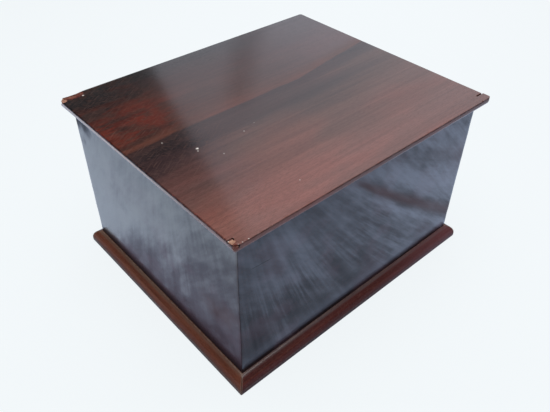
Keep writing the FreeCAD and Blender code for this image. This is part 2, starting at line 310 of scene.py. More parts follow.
class Paint(Bench):
    """A material being put together from patterns in the object's own coordinates."""

    def __init__(self, name: str) -> None:
        """Start a material.

        Args:
            name: its name.
        """
        self.material = bpy.data.materials.new(name)
        self.material.use_nodes = True
        super().__init__(self.material.node_tree)
        self.place = self.node("ShaderNodeTexCoord", output="Object")
        axes = self.node("ShaderNodeSeparateXYZ", inputs={"Vector": self.place}).socket.node.outputs
        self.x, self.y, self.z = (Wire(self, axes[name]) for name in "XYZ")

    def scaled(self, colour: Wire, amount: Wire | float) -> Wire:
        """Make a colour brighter or darker."""
        return self.node("ShaderNodeVectorMath", {"operation": "SCALE"}, {"Vector": colour, "Scale": amount})

    def turned(self, turn: Place, shift: Place = (0.0, 0.0, 0.0)) -> Wire:
        """Turn, then shift, the object's coordinates."""
        inputs = {"Vector": self.place, "Rotation": turn, "Location": shift}
        return self.node("ShaderNodeMapping", inputs=inputs)

    def cloud(
        self,
        scales: Place | float,
        detail: float = 2.0,
        roughness: float = 0.5,
        over: Wire | None = None,
    ) -> Wire:
        """Make soft noise, spread over nothing to one.

        Args:
            scales: how many features it has in each metre, along each axis or along all alike.
            detail: how many finer layers it has.
            roughness: how strong those layers are.
            over: the coordinates that it reads, if they aren't the object's own.

        Returns:
            The noise.
        """
        each = scales if isinstance(scales, tuple) else (scales, scales, scales)
        stretched = {0: over or self.place, 1: each}
        inputs = {
            "Vector": self.node("ShaderNodeVectorMath", {"operation": "MULTIPLY"}, stretched),
            "Scale": 1.0,
            "Detail": detail,
            "Roughness": roughness,
        }
        return self.node("ShaderNodeTexNoise", inputs=inputs).stepped(0.25, 0.75)

    def swing(self, *cloud: Place | float, over: Wire | None = None) -> Wire:
        """Make the same noise, spread over a half to either side of nothing."""
        return self.cloud(*cloud, over=over) - 0.5

    def mark(self, name: str) -> Wire:
        """Read one of the marks that a mesh carries on its points."""
        return self.node("ShaderNodeAttribute", {"attribute_name": name}, output="Fac")

    def mixed(
        self,
        factor: Wire | float,
        first: Wire | Colour,
        second: Wire | Colour,
        blend: str = "MIX",
    ) -> Wire:
        """Go from the first colour to the second, or to what the two give in another blend."""
        inputs = {"Factor_Float": factor, "A_Color": first, "B_Color": second}
        return self.node("ShaderNodeMix", {"data_type": "RGBA", "blend_type": blend}, inputs, "Result_Color")

    def shaded(self, factor: Wire | float, colour: Wire | Colour, by: Wire | Colour) -> Wire:
        """Multiply a colour by another."""
        return self.mixed(factor, colour, by, "MULTIPLY")

    def ramp(self, factor: Wire, stops: Sequence[tuple[float, Colour]]) -> Wire:
        """Colour a value by a row of stops."""
        return self.node("ShaderNodeValToRGB", {"stops": stops}, {"Fac": factor}, "Color")

    def relief(self, height: Wire, distance: float, strength: float, under: Wire | None = None) -> Wire:
        """Turn a height into a bumped normal, over another one if it is given."""
        inputs = {"Height": height, "Distance": distance, "Strength": strength}
        return self.node("ShaderNodeBump", inputs={**inputs, "Normal": under} if under else inputs)

    def principled(self, inputs: dict[str | int, object]) -> Wire:
        """Make the ordinary shader."""
        return self.node("ShaderNodeBsdfPrincipled", inputs=inputs)

    def closed(self, shader: Wire) -> Finish:
        """Close the material with its shader."""
        self.node("ShaderNodeOutputMaterial", inputs={"Surface": shader})
        return self.material


# Finishes ------------------------------------------------------------------------------------

@dataclass(frozen=True)
class Timber:
    """What all the woods share: the three tones of the grain and the way that it runs."""

    name: str
    grain: Grain
    deep: Colour = (0.0, 0.0, 0.0)
    warm: Colour = (0.0, 0.0, 0.0)
    fair: Colour = (0.0, 0.0, 0.0)
    shift: Place = (0.0, 0.0, 0.0)
    pore_depth: float = 0.55
    pore_tint: Colour = (0.34, 0.28, 0.26)

    def run_of_grain(self, paint: Paint) -> Wire:
        """Turn the coordinates so that the grain runs along local X."""
        return paint.turned(self.grain.value, self.shift)

    def figure(self, paint: Paint, along: Wire) -> tuple[Wire, Wire, Wire]:
        """Lay down the figure of the wood.

        Args:
            paint: the material being made.
            along: coordinates with the grain along X.

        Returns:
            The tone from nothing to one, the fine fibres, and the pores.
        """
        broad = paint.cloud((2.2, 24.0, 24.0), 3.0, 0.6, over=along)
        ribbon = paint.cloud((6.0, 110.0, 110.0), 3.0, 0.6, over=along)
        fibre = paint.cloud((22.0, 620.0, 620.0), 2.0, 0.6, over=along)
        pores = paint.cloud((170.0, 3300.0, 3300.0), 1.0, over=along).stepped(0.62, 0.86)
        tone = (broad * 0.50 + ribbon * 0.32 + fibre * 0.18).clamped()
        return tone, fibre, pores

    def coloured(self, paint: Paint, tone: Wire, pores: Wire) -> Wire:
        """Colour the tone and let the pores into it."""
        colour = paint.ramp(tone, [(0.12, self.deep), (0.5, self.warm), (0.9, self.fair)])
        return self.pored(paint, pores, colour)

    def pored(self, paint: Paint, pores: Wire, colour: Wire) -> Wire:
        """Let the pores into a colour."""
        return paint.shaded(pores * self.pore_depth, colour, self.pore_tint)


@dataclass(frozen=True)
class PolishedMahogany(Timber):
    """French-polished mahogany, rubbed through at its arrises."""

    rubbed: Colour = mixed_paint(124, 82, 62)
    torn: Colour = mixed_paint(206, 164, 138)
    torn_deep: Colour = mixed_paint(128, 50, 46)
    crack_shade_tone: Colour = mixed_paint(20, 11, 10)
    gloss: float = 0.3
    wear: float = 0.6
    scuffing: float = 0.15
    wood_gloss: float = 0.04
    coat_roughness: float = 0.12
    coat_bend: float = 1.5
    grain_relief: float = 0.03 * MM
    wave_relief: float = 0.3 * MM

    def polish(self, paint: Paint) -> Wire:
        """Tell how bright the polish is: each kind of finish has its own way."""
        raise NotImplementedError

    def tinted(self, paint: Paint, colour: Wire, polish: Wire) -> Wire:
        """Age the colour of the wood under its polish: each kind of finish has its own way."""
        raise NotImplementedError

    def scuffed(self, paint: Paint) -> Wire:
        """Draw fine scratches in two directions.

        Args:
            paint: the material being made.

        Returns:
            How scuffed a point is.
        """
        strokes = []
        for turn, shift in ((0.9, 0.31), (-0.55, 1.7)):
            slanted = paint.turned((0.3, 0.2, turn), (shift, shift, shift))
            strokes.append(paint.cloud((46.0, 1500.0, 400.0), 0.0, over=slanted).stepped(0.94, 0.985))
        return (strokes[0] + strokes[1]).clamped() * self.scuffing

    def make(self) -> Finish:
        """Make the material.

        Returns:
            The material.
        """
        paint = Paint(self.name)
        along = self.run_of_grain(paint)
        tone, fibre, pores = self.figure(paint, along)
        polish = self.polish(paint)
        colour = self.tinted(paint, self.coloured(paint, tone, pores), polish)
        scuffs = self.scuffed(paint)
        colour = paint.mixed(scuffs, colour, self.rubbed)

        patchy = paint.cloud(140.0, 3.0, 0.65)
        rub = (paint.mark("arris") * (0.35 + patchy * 1.1)).stepped(0.45, 0.95) * self.wear
        colour = paint.mixed(rub, colour, self.rubbed)
        splinters = paint.cloud((60.0, 700.0, 700.0), over=along)
        bare = (paint.mark("bare") * (0.6 + patchy * 0.8)).clamped()
        depth = (splinters * 0.7 + bare.stepped(1.0, 0.4) * 0.6).clamped()
        colour = paint.mixed(bare, colour, paint.mixed(depth, self.torn, self.torn_deep))
        # Painted shade inside the cracks.
        colour = paint.mixed(paint.mark("crack_shade"), colour, self.crack_shade_tone)

        smears = paint.cloud(22.0, 3.0, 0.7)
        rough = self.gloss + smears * 0.1 + scuffs * 0.4 + rub * 0.2 + bare * 0.45
        grain_height = paint.relief(fibre * 0.4 - pores * 0.8, self.grain_relief, 0.4)
        waves = paint.cloud(18.0, 1.0)
        return paint.closed(paint.principled({
            "Base Color": colour,
            "Roughness": rough.clamped(),
            "Specular IOR Level": self.wood_gloss,
            "Coat Weight": ((1.0 - bare * 0.95 - rub * 0.4 - scuffs) * polish).clamped(),
            "Coat Roughness": self.coat_roughness,
            "Coat IOR": self.coat_bend,
            "Normal": paint.relief(waves, self.wave_relief, 0.3, grain_height),
        }))


@dataclass(frozen=True)
class Fan:
    """Where a point of a board lies: along it, up it, and as seen from where its wisps spread."""

    across: Wire
    height: Wire
    angle: Wire
    reach: Wire
    uneven: Wire


@dataclass(frozen=True)
class Wisp:
    """A soft streak in the polish, a painted reflection, along a line from the point that a board's wisps
    spread from.
    """

    angle: float
    half_width: float
    start: float
    stop: float
    lift: float
    flush: float = 0.0
    ease: float = 0.04

    def share(self, fan: Fan) -> Wire:
        """Tell how much of the wisp lies at a point, its angle being in degrees from straight down.

        Args:
            fan: where the board's points lie.

        Returns:
            The share, from nothing to one.
        """
        beside = abs(fan.angle - self.angle).stepped(self.half_width, 0.0)
        after = fan.reach.stepped(self.start - self.ease, self.start + self.ease)
        return beside * after * fan.reach.stepped(self.stop + self.ease, self.stop - self.ease)


@dataclass(frozen=True)
class Blotch:
    """A soft cloudy patch in the polish and its painted reflection, drawn out between two places on a board.
    """

    start: tuple[float, float]
    stop: tuple[float, float]
    half_width: float
    lift: float
    flush: float = 0.0

    def share(self, fan: Fan) -> Wire:
        """Tell how much of the patch lies at a point, its border being uneven.

        Args:
            fan: where the board's points lie.

        Returns:
            The share, from nothing to one.
        """
        wide, tall = self.stop[0] - self.start[0], self.stop[1] - self.start[1]
        aside = fan.across + fan.uneven - self.start[0]
        above = fan.height - fan.uneven - self.start[1]
        along = ((aside * wide + above * tall) / max(wide * wide + tall * tall, 1e-6)).clamped()
        return (aside - along * wide).distance(above - along * tall).stepped(self.half_width, 0.0)


@dataclass(frozen=True)
class Split:
    """A fine dark split in a board, from its left end to its right one."""

    left: float
    left_height: float
    right: float
    right_height: float
    tone: Colour = mixed_paint(16, 12, 14)

    def share(self, paint: Paint) -> Wire:
        """Tell how much of the split lies at a point.

        Args:
            paint: the material being made.

        Returns:
            The share, from nothing to one.
        """
        slope = (self.right_height - self.left_height) / (self.right - self.left)
        waver_up = paint.swing((160.0, 1.0, 1.0), 1.0) * 0.0012
        beside = abs(paint.z - self.left_height - (paint.x - self.left) * slope + waver_up)
        within = paint.x.band(self.left, self.left + 4 * MM, self.right - 8 * MM, self.right)
        return beside.stepped(0.9 * MM, 0.25 * MM) * within * 0.8


@dataclass(frozen=True)
class BoardMahogany(PolishedMahogany):
    """The case's polish, clouded with age into wisps that spread from a point above each board; the wisps and
    the grey bloom are partly painted reflection.
    """

    wear: float = 0.05
    turn: float = 0.0
    source: tuple[float, float] = (-0.230, 0.420)
    bend: float = 9.6
    straight_at: float = 0.42
    fan_pitch: float = 0.0063
    border: float = 0.016
    middle: float = 0.13
    level: Place = (0.6, 0.0, 0.0)
    fall: Place = (0.0, 1.0, 0.0)
    fall_lean: float = 1.33
    fall_ease: float = 0.0
    foot_band_reflection: float = 0.2
    foot_reflection_band: tuple[float, ...] = (27 * MM, 32 * MM, 36 * MM, 60 * MM)
    mauve_amount: float = 0.3
    brushed: float = 0.35
    brushed_to: float = 46.0
    swept: float = 0.25
    clouded: float = 0.25
    drift: float = -40.0
    combed: float = 0.0
    combed_from: tuple[float, float] = (36.0, 48.0)
    comb_lean: float = -45.0
    # Heights over which the painted shade above the base moulding fades out.
    foot: tuple[float, float] = (0.016, 0.031)
    # The grey bloom colour is partly a painted reflection, laid into the base colour where the polish is
    # bright.
    bloom_reflection: Colour = mixed_paint(149, 159, 182)
    bloom_reflection_amount: float = 0.7
    mauve: Colour = mixed_paint(88, 62, 74)
    flush: Colour = mixed_paint(92, 50, 46)
    wisps: tuple[Wisp, ...] = ()
    blotches: tuple[Blotch, ...] = ()
    split: Split | None = None

    def fan(self, paint: Paint) -> Fan:
        """Measure the board from the point that its wisps spread from.

        Args:
            paint: the material being made.

        Returns:
            Where the board's points lie.
        """
        turn = math.radians(self.turn)
        across = paint.x * round(math.cos(turn)) + paint.y * round(math.sin(turn))
        beside, below = across - self.source[0], self.source[1] - paint.z
        reach = beside.distance(below)
        angle = beside.angle_from(below) - (reach - self.straight_at) * self.bend
        return Fan(across, paint.z, angle, reach, paint.swing(26.0) * self.border)

    def leaned(self, paint: Paint, fan: Fan, degrees: float) -> Wire:
        """Turn the board's own directions, for clouds drawn out aslant.

        Args:
            paint: the material being made.
            fan: where the board's points lie.
            degrees: how far they are turned.

        Returns:
            The turned coordinates.
        """
        lean = math.radians(degrees)
        return paint.vector(fan.across * math.cos(lean) + fan.height * math.sin(lean),
                            fan.height * math.cos(lean) - fan.across * math.sin(lean), self.turn * 0.01)

    def strokes(self, paint: Paint, fan: Fan) -> list[Wire]:
        """Draw the unevenness of the polish.

        Args:
            paint: the material being made.
            fan: where its points lie.

        Returns:
            What each kind of stroke adds: the brushed, the swept, the clouded and the combed ones.
        """
        spread = paint.vector(fan.reach, fan.angle * self.fan_pitch)
        where = fan.angle.stepped(self.brushed_to + 6, self.brushed_to - 6) * 0.55 + 0.45
        uneven = paint.cloud(11.0) * 1.1 + 0.35
        brushed = paint.swing((9.0, 150.0, 1.0), 3.0, 0.6, over=spread) * where * uneven
        swept = paint.swing((3.5, 34.0, 1.0), 2.0, 0.55, over=spread)
        leaning = self.leaned(paint, fan, self.drift)
        clouded = paint.swing((5.0, 13.0, 1.0), 4.0, 0.6, over=leaning)
        clouded = clouded + paint.swing((17.0, 48.0, 1.0), 3.0, 0.6, over=leaning) * 0.8
        brushed = brushed * fan.reach.stepped(0.20, 0.36)
        added_up = [brushed * self.brushed, swept * self.swept, clouded * self.clouded]
        if self.combed:
            leaning = self.leaned(paint, fan, self.comb_lean)
            combed = paint.swing((13.0, 110.0, 1.0), 3.0, 0.6, over=leaning)
            added_up.append(combed * fan.angle.stepped(*self.combed_from) * self.combed)
        return added_up

    def polish(self, paint: Paint) -> Wire:
        """Tell how much of the polish is bright, from nothing to a little over one.

        Args:
            paint: the material being made.

        Returns:
            How bright the polish is.
        """
        fan = self.fan(paint)
        amount = self.level[0] + fan.across * self.level[1] + (fan.height - self.middle) * self.level[2]
        amount = amount - self.fallen(fan)
        for stroke in self.strokes(paint, fan):
            amount = amount + stroke
        for patch in (*self.wisps, *self.blotches):
            amount = amount + patch.share(fan) * patch.lift
        return amount.at_least(0.0) * self.clear_of_foot_shade(fan)

    def fallen(self, fan: Fan) -> Wire:
        """Tell how much polish is lost towards the lower corner, the more the lower down."""
        near = (fan.across - fan.height * self.fall_lean).stepped(self.fall[0], self.fall[1])
        return near * (self.fall[2] - (fan.height - self.middle) * self.fall_ease)

    def clear_of_foot_shade(self, fan: Fan) -> Wire:
        """Tell how clear of the painted shade over the base moulding a point is."""
        return 0.25 + fan.height.stepped(*self.foot) * 0.75

    def tinted(self, paint: Paint, colour: Wire, polish: Wire) -> Wire:
        """Lay the grey bloom, partly a painted reflection, over the colour, flush it where the wood shows and
        draw the split.

        Args:
            paint: the material being made.
            colour: the colour so far.
            polish: how bright the polish is.

        Returns:
            The aged colour.
        """
        fan = self.fan(paint)
        mauve = paint.cloud(16.0, 3.0).stepped(0.42, 0.85)
        mauve = mauve * self.mauve_amount + self.fallen(fan)
        colour = paint.mixed(mauve * self.clear_of_foot_shade(fan), colour, self.mauve)
        # Painted reflection: the bloom colour goes in where the polish is bright.
        colour = paint.mixed(polish.stepped(0.45, 1.45) * self.bloom_reflection_amount, colour, self.bloom_reflection)
        # Painted reflection: a band above the base moulding takes more of the bloom colour.
        dusty = paint.z.band(*self.foot_reflection_band) * self.foot_band_reflection
        colour = paint.mixed(dusty, colour, self.bloom_reflection)
        for patch in (*self.wisps, *self.blotches):
            if patch.flush:
                colour = paint.mixed(patch.share(fan) * patch.flush, colour, self.flush)
        if self.split:
            colour = paint.mixed(self.split.share(paint), colour, self.split.tone)
        return colour


@dataclass(frozen=True)
class Fleck:
    """A small white fleck on the top of the lid, its radius in millimetres."""

    x: float
    y: float
    radius: float

    def share(self, paint: Paint, ragged: Wire) -> Wire:
        """Tell how much of the fleck lies at a point, its rim being ragged."""
        distance = (paint.x - self.x).distance(paint.y - self.y) * ragged
        return distance.stepped(self.radius * MM, self.radius * 0.5 * MM)


@dataclass(frozen=True)
class LidMahogany(PolishedMahogany):
    """The lid's wood, whose colour changes across its width and breaks at one long line."""

    rubbed: Colour = mixed_paint(112, 84, 76)
    wear: float = 0.15
    scuffing: float = 0.42
    pore_depth: float = 0.5
    pore_tint: Colour = (0.4, 0.34, 0.32)
    line_middle: float = 0.0225
    line_slope: float = 0.02
    line_bend: float = 0.065
    line_rise: float = 0.12
    reach: float = 0.2
    grain_depth: float = 0.6
    band_slant: float = 0.13
    cool: Colour = (0.72, 0.90, 0.94)
    rosy: Colour = (1.10, 0.93, 0.90)
    ruddy: Colour = (1.75, 0.82, 0.60)
    stain: Colour = (0.34, 0.40, 0.46)
    shade: Colour = (0.74, 0.76, 0.90)
    line_shade: Colour = (0.42, 0.34, 0.34)
    haze: Colour = mixed_paint(118, 108, 116)
    edge_highlight: Colour = mixed_paint(255, 228, 212)
    white: Colour = mixed_paint(255, 246, 238)
    top: tuple[float, float] = (267.0 * MM, 267.5 * MM)
    line_under: tuple[float, ...] = (265.3 * MM, 266.1 * MM, 267.2 * MM, 267.7 * MM)
    line_inside: tuple[float, float] = (-230.9 * MM, -231.7 * MM)
    line_top: tuple[float, float] = (266.9 * MM, 267.5 * MM)
    front_edge: tuple[float, float] = (-194.3 * MM, -195.2 * MM)
    front_top: tuple[float, float] = (266.5 * MM, 265.5 * MM)
    left_highlight_edge: tuple[float, float] = (-231.8 * MM, -232.2 * MM)
    left_highlight_band: tuple[float, ...] = (260.6 * MM, 261.4 * MM, 265.0 * MM, 265.6 * MM)
    zones: tuple[tuple[float, Colour], ...] = (
        (-0.198, mixed_paint(138, 92, 83)),
        (-0.135, mixed_paint(125, 83, 73)),
        (-0.085, mixed_paint(104, 71, 61)),
        (-0.040, mixed_paint(70, 50, 46)),
        (-0.0015, mixed_paint(56, 36, 34)),
        (0.002, mixed_paint(98, 55, 42)),
        (0.035, mixed_paint(84, 47, 37)),
        (0.100, mixed_paint(64, 39, 33)),
        (0.150, mixed_paint(47, 33, 31)),
        (0.172, mixed_paint(36, 36, 36)),
    )
    flecks: tuple[Fleck, ...] = (
        Fleck(-0.2018, 0.1828, 1.7), Fleck(-0.1572, -0.0283, 2.0), Fleck(-0.1598, -0.0330, 1.1),
        Fleck(-0.1837, 0.0106, 0.8), Fleck(-0.0884, -0.0353, 0.7), Fleck(-0.0654, -0.0281, 0.6),
        Fleck(-0.1390, -0.0582, 0.7), Fleck(-0.1051, -0.1580, 0.8), Fleck(-0.2318, -0.1848, 0.8),
        Fleck(-0.2296, -0.1868, 1.0), Fleck(-0.2262, -0.1944, 0.5), Fleck(-0.2213, -0.1946, 0.6),
        Fleck(-0.2130, -0.1948, 0.7), Fleck(-0.2275, 0.1840, 0.8),
    )

    def behind_line(self, paint: Paint) -> Wire:
        """Measure how far behind the long line a point is.

        Args:
            paint: the material being made.

        Returns:
            The distance.
        """
        uneven = paint.swing((7.0, 45.0, 1.0), 3.0, 0.6)
        line = paint.x * self.line_slope + (paint.x - self.line_bend).at_least(0.0) * self.line_rise
        return paint.y - self.line_middle - line + uneven * 0.004

    def coloured(self, paint: Paint, tone: Wire, pores: Wire) -> Wire:
        """Colour the wood by its distance behind the line, then let the grain and the pores into it.

        Args:
            paint: the material being made.
            tone: the tone of the grain, from nothing to one.
            pores: where the pores are.

        Returns:
            The colour.
        """
        behind = self.behind_line(paint)
        back, front = behind.stepped(0.0, 0.03), behind.stepped(-0.004, -0.03)
        drift = paint.swing((3.0, 22.0, 1.0)) * back * 0.03
        drift = drift + paint.swing((2.5, 30.0, 1.0)) * front * 0.05
        drift = drift - paint.x * front * behind.stepped(-0.16, -0.05) * self.band_slant
        stops = [(place / (2 * self.reach) + 0.5, colour) for place, colour in self.zones]
        colour = paint.ramp((behind + drift) / (2 * self.reach) + 0.5, stops)
        lines = paint.cloud((4.0, 280.0, 1.0), 2.0, 0.6)
        streaked = (tone * 0.6 + lines * 0.4 - 0.5) * self.grain_depth + 1.03
        colour = paint.scaled(colour, streaked - paint.x * 0.4)

        mottled = paint.cloud((6.0, 16.0, 1.0))
        end = paint.x.stepped(-0.09, -0.17)
        flamed = paint.cloud((18.0, 60.0, 1.0), 4.0, 0.65).stepped(0.32, 0.72)
        stained = paint.cloud((14.0, 44.0, 1.0), 4.0, 0.6).stepped(0.40, 0.85)
        tints = [
            (mottled.stepped(0.40, 0.85) * 0.6, self.cool),
            (mottled.stepped(0.55, 0.15) * 0.6, self.rosy),
            (end * back * flamed, self.ruddy),
            (stained * end * behind.stepped(-0.10, -0.03) * 0.7, self.stain),
            (end * behind.stepped(-0.19, -0.08) * front, self.shade),
        ]
        for share, tint in tints:
            colour = paint.shaded(share, colour, tint)
        colour = paint.mixed(paint.x.stepped(-0.02, 0.22) * back * 0.3, colour, self.haze)
        return self.pored(paint, pores, colour)

    def edge_shadow_lines(self, paint: Paint) -> Wire:
        """Draw the painted shadow line under the top arris and the one inside the panel's left edge.

        Args:
            paint: the material being made.

        Returns:
            How dark the lines are at a point.
        """
        under = paint.z.band(*self.line_under)
        inside = paint.x.stepped(*self.line_inside) * paint.z.stepped(*self.line_top)
        # A cloud breaks up the painted shadow lines.
        worn = paint.cloud((90.0, 90.0, 1.0), 3.0, 0.6).stepped(0.3, 0.62) * 0.4 + 0.7
        return (under.at_least(inside) * worn).clamped()

    def polish(self, paint: Paint) -> Wire:
        """Lose the polish in the painted shadow lines, and part of it down the front edge."""
        front = paint.y.stepped(*self.front_edge) * paint.z.stepped(*self.front_top)
        return 1.0 - self.edge_shadow_lines(paint) - front * 0.5

    def tinted(self, paint: Paint, colour: Wire, polish: Wire) -> Wire:
        """Paint a highlight along the left edge, draw the painted shadow lines and set the small white
        flecks.

        Args:
            paint: the material being made.
            colour: the colour so far.
            polish: not used.

        Returns:
            The aged colour.
        """
        # Painted highlight along the lower part of the left edge, brighter towards the back.
        side = paint.z.band(*self.left_highlight_band) * paint.x.stepped(*self.left_highlight_edge)
        side = side * (0.2 + paint.y.stepped(-0.19, 0.04) * 0.7)
        colour = paint.mixed(side, colour, self.edge_highlight)
        # Painted shade: the dark lines under the top arris and inside the left edge.
        colour = paint.shaded(self.edge_shadow_lines(paint) * 0.9, colour, self.line_shade)
        ragged = paint.cloud(900.0, 1.0) * 0.7 + 0.6
        for fleck in self.flecks:
            spot = fleck.share(paint, ragged) * paint.z.stepped(*self.top)
            colour = paint.mixed(spot, colour, self.white)
        return colour

    def scuffed(self, paint: Paint) -> Wire:
        """Keep the scuffs to the left of the lid, where hands have been."""
        return super().scuffed(paint) * paint.x.stepped(-0.07, -0.15)


@dataclass(frozen=True)
class MouldingMahogany(PolishedMahogany):
    """The base moulding's finish: a painted highlight on top, rubbed along its swell, dull towards its foot.
    """

    rubbed: Colour = mixed_paint(150, 124, 110)
    wear: float = 0.7
    top_highlight: Colour = mixed_paint(118, 98, 98)
    foot_dust: Colour = mixed_paint(86, 69, 71)
    lines: Colour = mixed_paint(158, 100, 72)
    lines_amount: float = 0.3
    haze: Colour = mixed_paint(150, 98, 104)
    haze_amount: float = 0.0
    corner: float = 37 * MM
    mitre_line: float = 1.3 * MM
    mitre_edge: tuple[float, float] = (1.1 * MM, 0.3 * MM)
    bright: tuple[float, float] = (13 * MM, 19 * MM)
    half_bright: tuple[float, float] = (9 * MM, 13 * MM)
    shaded_below: tuple[float, float] = (20 * MM, 15 * MM)
    swell: tuple[float, ...] = (10 * MM, 14 * MM, 17 * MM, 20 * MM)
    flat: tuple[float, float] = (19.5 * MM, 21.5 * MM)
    dull: tuple[float, float] = (13 * MM, 4 * MM)

    def polish(self, paint: Paint) -> Wire:
        """Keep the polish at the top and lose it towards the foot."""
        return 0.05 + paint.z.stepped(*self.bright) * 0.6 + paint.z.stepped(*self.half_bright) * 0.15

    def tinted(self, paint: Paint, colour: Wire, polish: Wire) -> Wire:
        """Lighten the swell, draw the rubbed lines along it, paint a highlight on the top and dust the foot.

        Args:
            paint: the material being made.
            colour: the colour so far.
            polish: not used.

        Returns:
            The aged colour.
        """
        colour = paint.scaled(colour, 0.85 + paint.z.stepped(*self.shaded_below) * 0.15)
        along = self.run_of_grain(paint)
        lines = paint.cloud((5.0, 500.0, 500.0), 1.0, over=along).stepped(0.62, 0.9)
        patchy = paint.cloud((16.0, 60.0, 60.0), 3.0, over=along) * 0.5 + 0.5
        from_mitre = abs(abs(abs(paint.x) - abs(paint.y) - self.corner) - self.mitre_line)
        layers = [
            (lines * paint.z.band(*self.swell) * self.lines_amount, self.lines),
            # Painted highlight along the flat top.
            (paint.z.stepped(*self.flat) * patchy, self.top_highlight),
            (paint.z.stepped(*self.dull) * patchy, self.foot_dust),
            (paint.x.stepped(0.02, 0.20) * self.haze_amount, self.haze),
            (from_mitre.stepped(*self.mitre_edge) * patchy * 0.7, self.rubbed),
        ]
        for share, tone in layers:
            colour = paint.mixed(share, colour, tone)
        return colour


@dataclass(frozen=True)
class DryTimber(Timber):
    """Planed wood that was never polished: the inside of the case, the blocks and the battens."""

    dust: Colour = mixed_paint(120, 104, 88)
    dust_amount: float = 0.35
    stain: Colour = (0.55, 0.48, 0.42)
    worn: Colour = (0.6, 0.54, 0.5)
    relief: float = 0.12 * MM

    def make(self) -> Finish:
        """Make the material.

        Returns:
            The material.
        """
        paint = Paint(self.name)
        along = self.run_of_grain(paint)
        tone, fibre, pores = self.figure(paint, along)
        colour = self.coloured(paint, tone, pores)
        stains = paint.cloud(14.0, 3.0, 0.6).stepped(0.55, 0.95)
        colour = paint.shaded(stains * 0.5, colour, self.stain)
        dusty = paint.cloud(40.0, 4.0, 0.7)
        colour = paint.mixed(dusty.stepped(0.4, 0.9) * self.dust_amount, colour, self.dust)
        colour = paint.shaded(paint.mark("arris") * 0.4, colour, self.worn)
        tool = paint.cloud((3.0, 260.0, 260.0), 1.0, over=along)
        return paint.closed(paint.principled({
            "Base Color": colour,
            "Roughness": (0.62 + dusty * 0.25).clamped(),
            "IOR": 1.45,
            "Normal": paint.relief(fibre * 0.5 - pores * 0.7 + tool * 0.5, self.relief, 0.7),
        }))


@dataclass(frozen=True)
class OldMetal:
    """Brass or iron that has dulled: bright where it rubs, brown and spotted elsewhere."""

    name: str
    bright: Colour
    dull: Colour
    spot: Colour
    tarnish: float
    smooth: float = 0.26
    relief: float = 0.05 * MM

    def make(self) -> Finish:
        """Make the material.

        Returns:
            The material.
        """
        paint = Paint(self.name)
        skin = paint.cloud(160.0, 4.0, 0.65)
        dulled = (skin * 0.7 + self.tarnish - 0.35).clamped()
        colour = paint.mixed(dulled, self.bright, self.dull)
        spots = paint.cloud(900.0, 3.0, 0.6).stepped(0.68, 0.88)
        filed = paint.cloud((90.0, 5200.0, 5200.0), 1.0)
        rough = self.smooth + dulled * 0.25 + spots * 0.25 + filed * 0.06
        return paint.closed(paint.principled({
            "Base Color": paint.mixed(spots * 0.7, colour, self.spot),
            "Metallic": (1 - spots * 0.6).clamped(),
            "Roughness": rough.clamped(),
            "Normal": paint.relief(filed * 0.4 + skin - spots * 0.6, self.relief, 0.5),
        }))


@dataclass(frozen=True)
class PaleFloor:
    """A plain pale floor with a faint mottle, part of it shown as white to the camera and the gloss."""

    name: str = "pale_floor"
    tone: Colour = mixed_paint(236, 242, 250)
    mottle: Colour = (0.9, 0.91, 0.93)
    shown: Colour = mixed_paint(248, 253, 255)
    mirrored: Colour = mixed_paint(208, 225, 255)
    share: float = 0.88

    def make(self) -> Finish:
        """Make the material.

        Returns:
            The material.
        """
        paint = Paint(self.name)
        colour = paint.shaded(paint.cloud(3.0, 3.0) * 0.06, self.tone, self.mottle)
        lit = paint.principled({"Base Color": colour, "Roughness": 0.8, "Specular IOR Level": 0.2})
        seen = paint.mixed(paint.seen_by("Is Camera Ray"), self.mirrored, self.shown)
        glow = paint.node("ShaderNodeEmission", inputs={"Color": seen, "Strength": 1.0})
        factor = paint.seen_by("Is Camera Ray", "Is Glossy Ray", "Is Transmission Ray") * self.share
        return paint.closed(paint.mixed_shader(factor, lit, glow))


@dataclass(frozen=True)
class Gauze:
    """Thin dark cloth that takes a little of the light away."""

    name: str = "gauze"
    tone: Colour = mixed_paint(60, 52, 44)
    thickness: float = 0.15

    def make(self) -> Finish:
        """Make the material.

        Returns:
            The material.
        """
        paint = Paint(self.name)
        clear = paint.node("ShaderNodeBsdfTransparent")
        thread = paint.node("ShaderNodeBsdfDiffuse", inputs={"Color": self.tone})
        return paint.closed(paint.mixed_shader(self.thickness, clear, thread))


def tones(kinds: Sequence[str], *shades: tuple[int, int, int]) -> dict[str, Colour]:
    """Mix a paint for each kind of tone, from its shade on a screen."""
    return {kind: mixed_paint(*shade) for kind, shade in zip(kinds, shades, strict=True)}


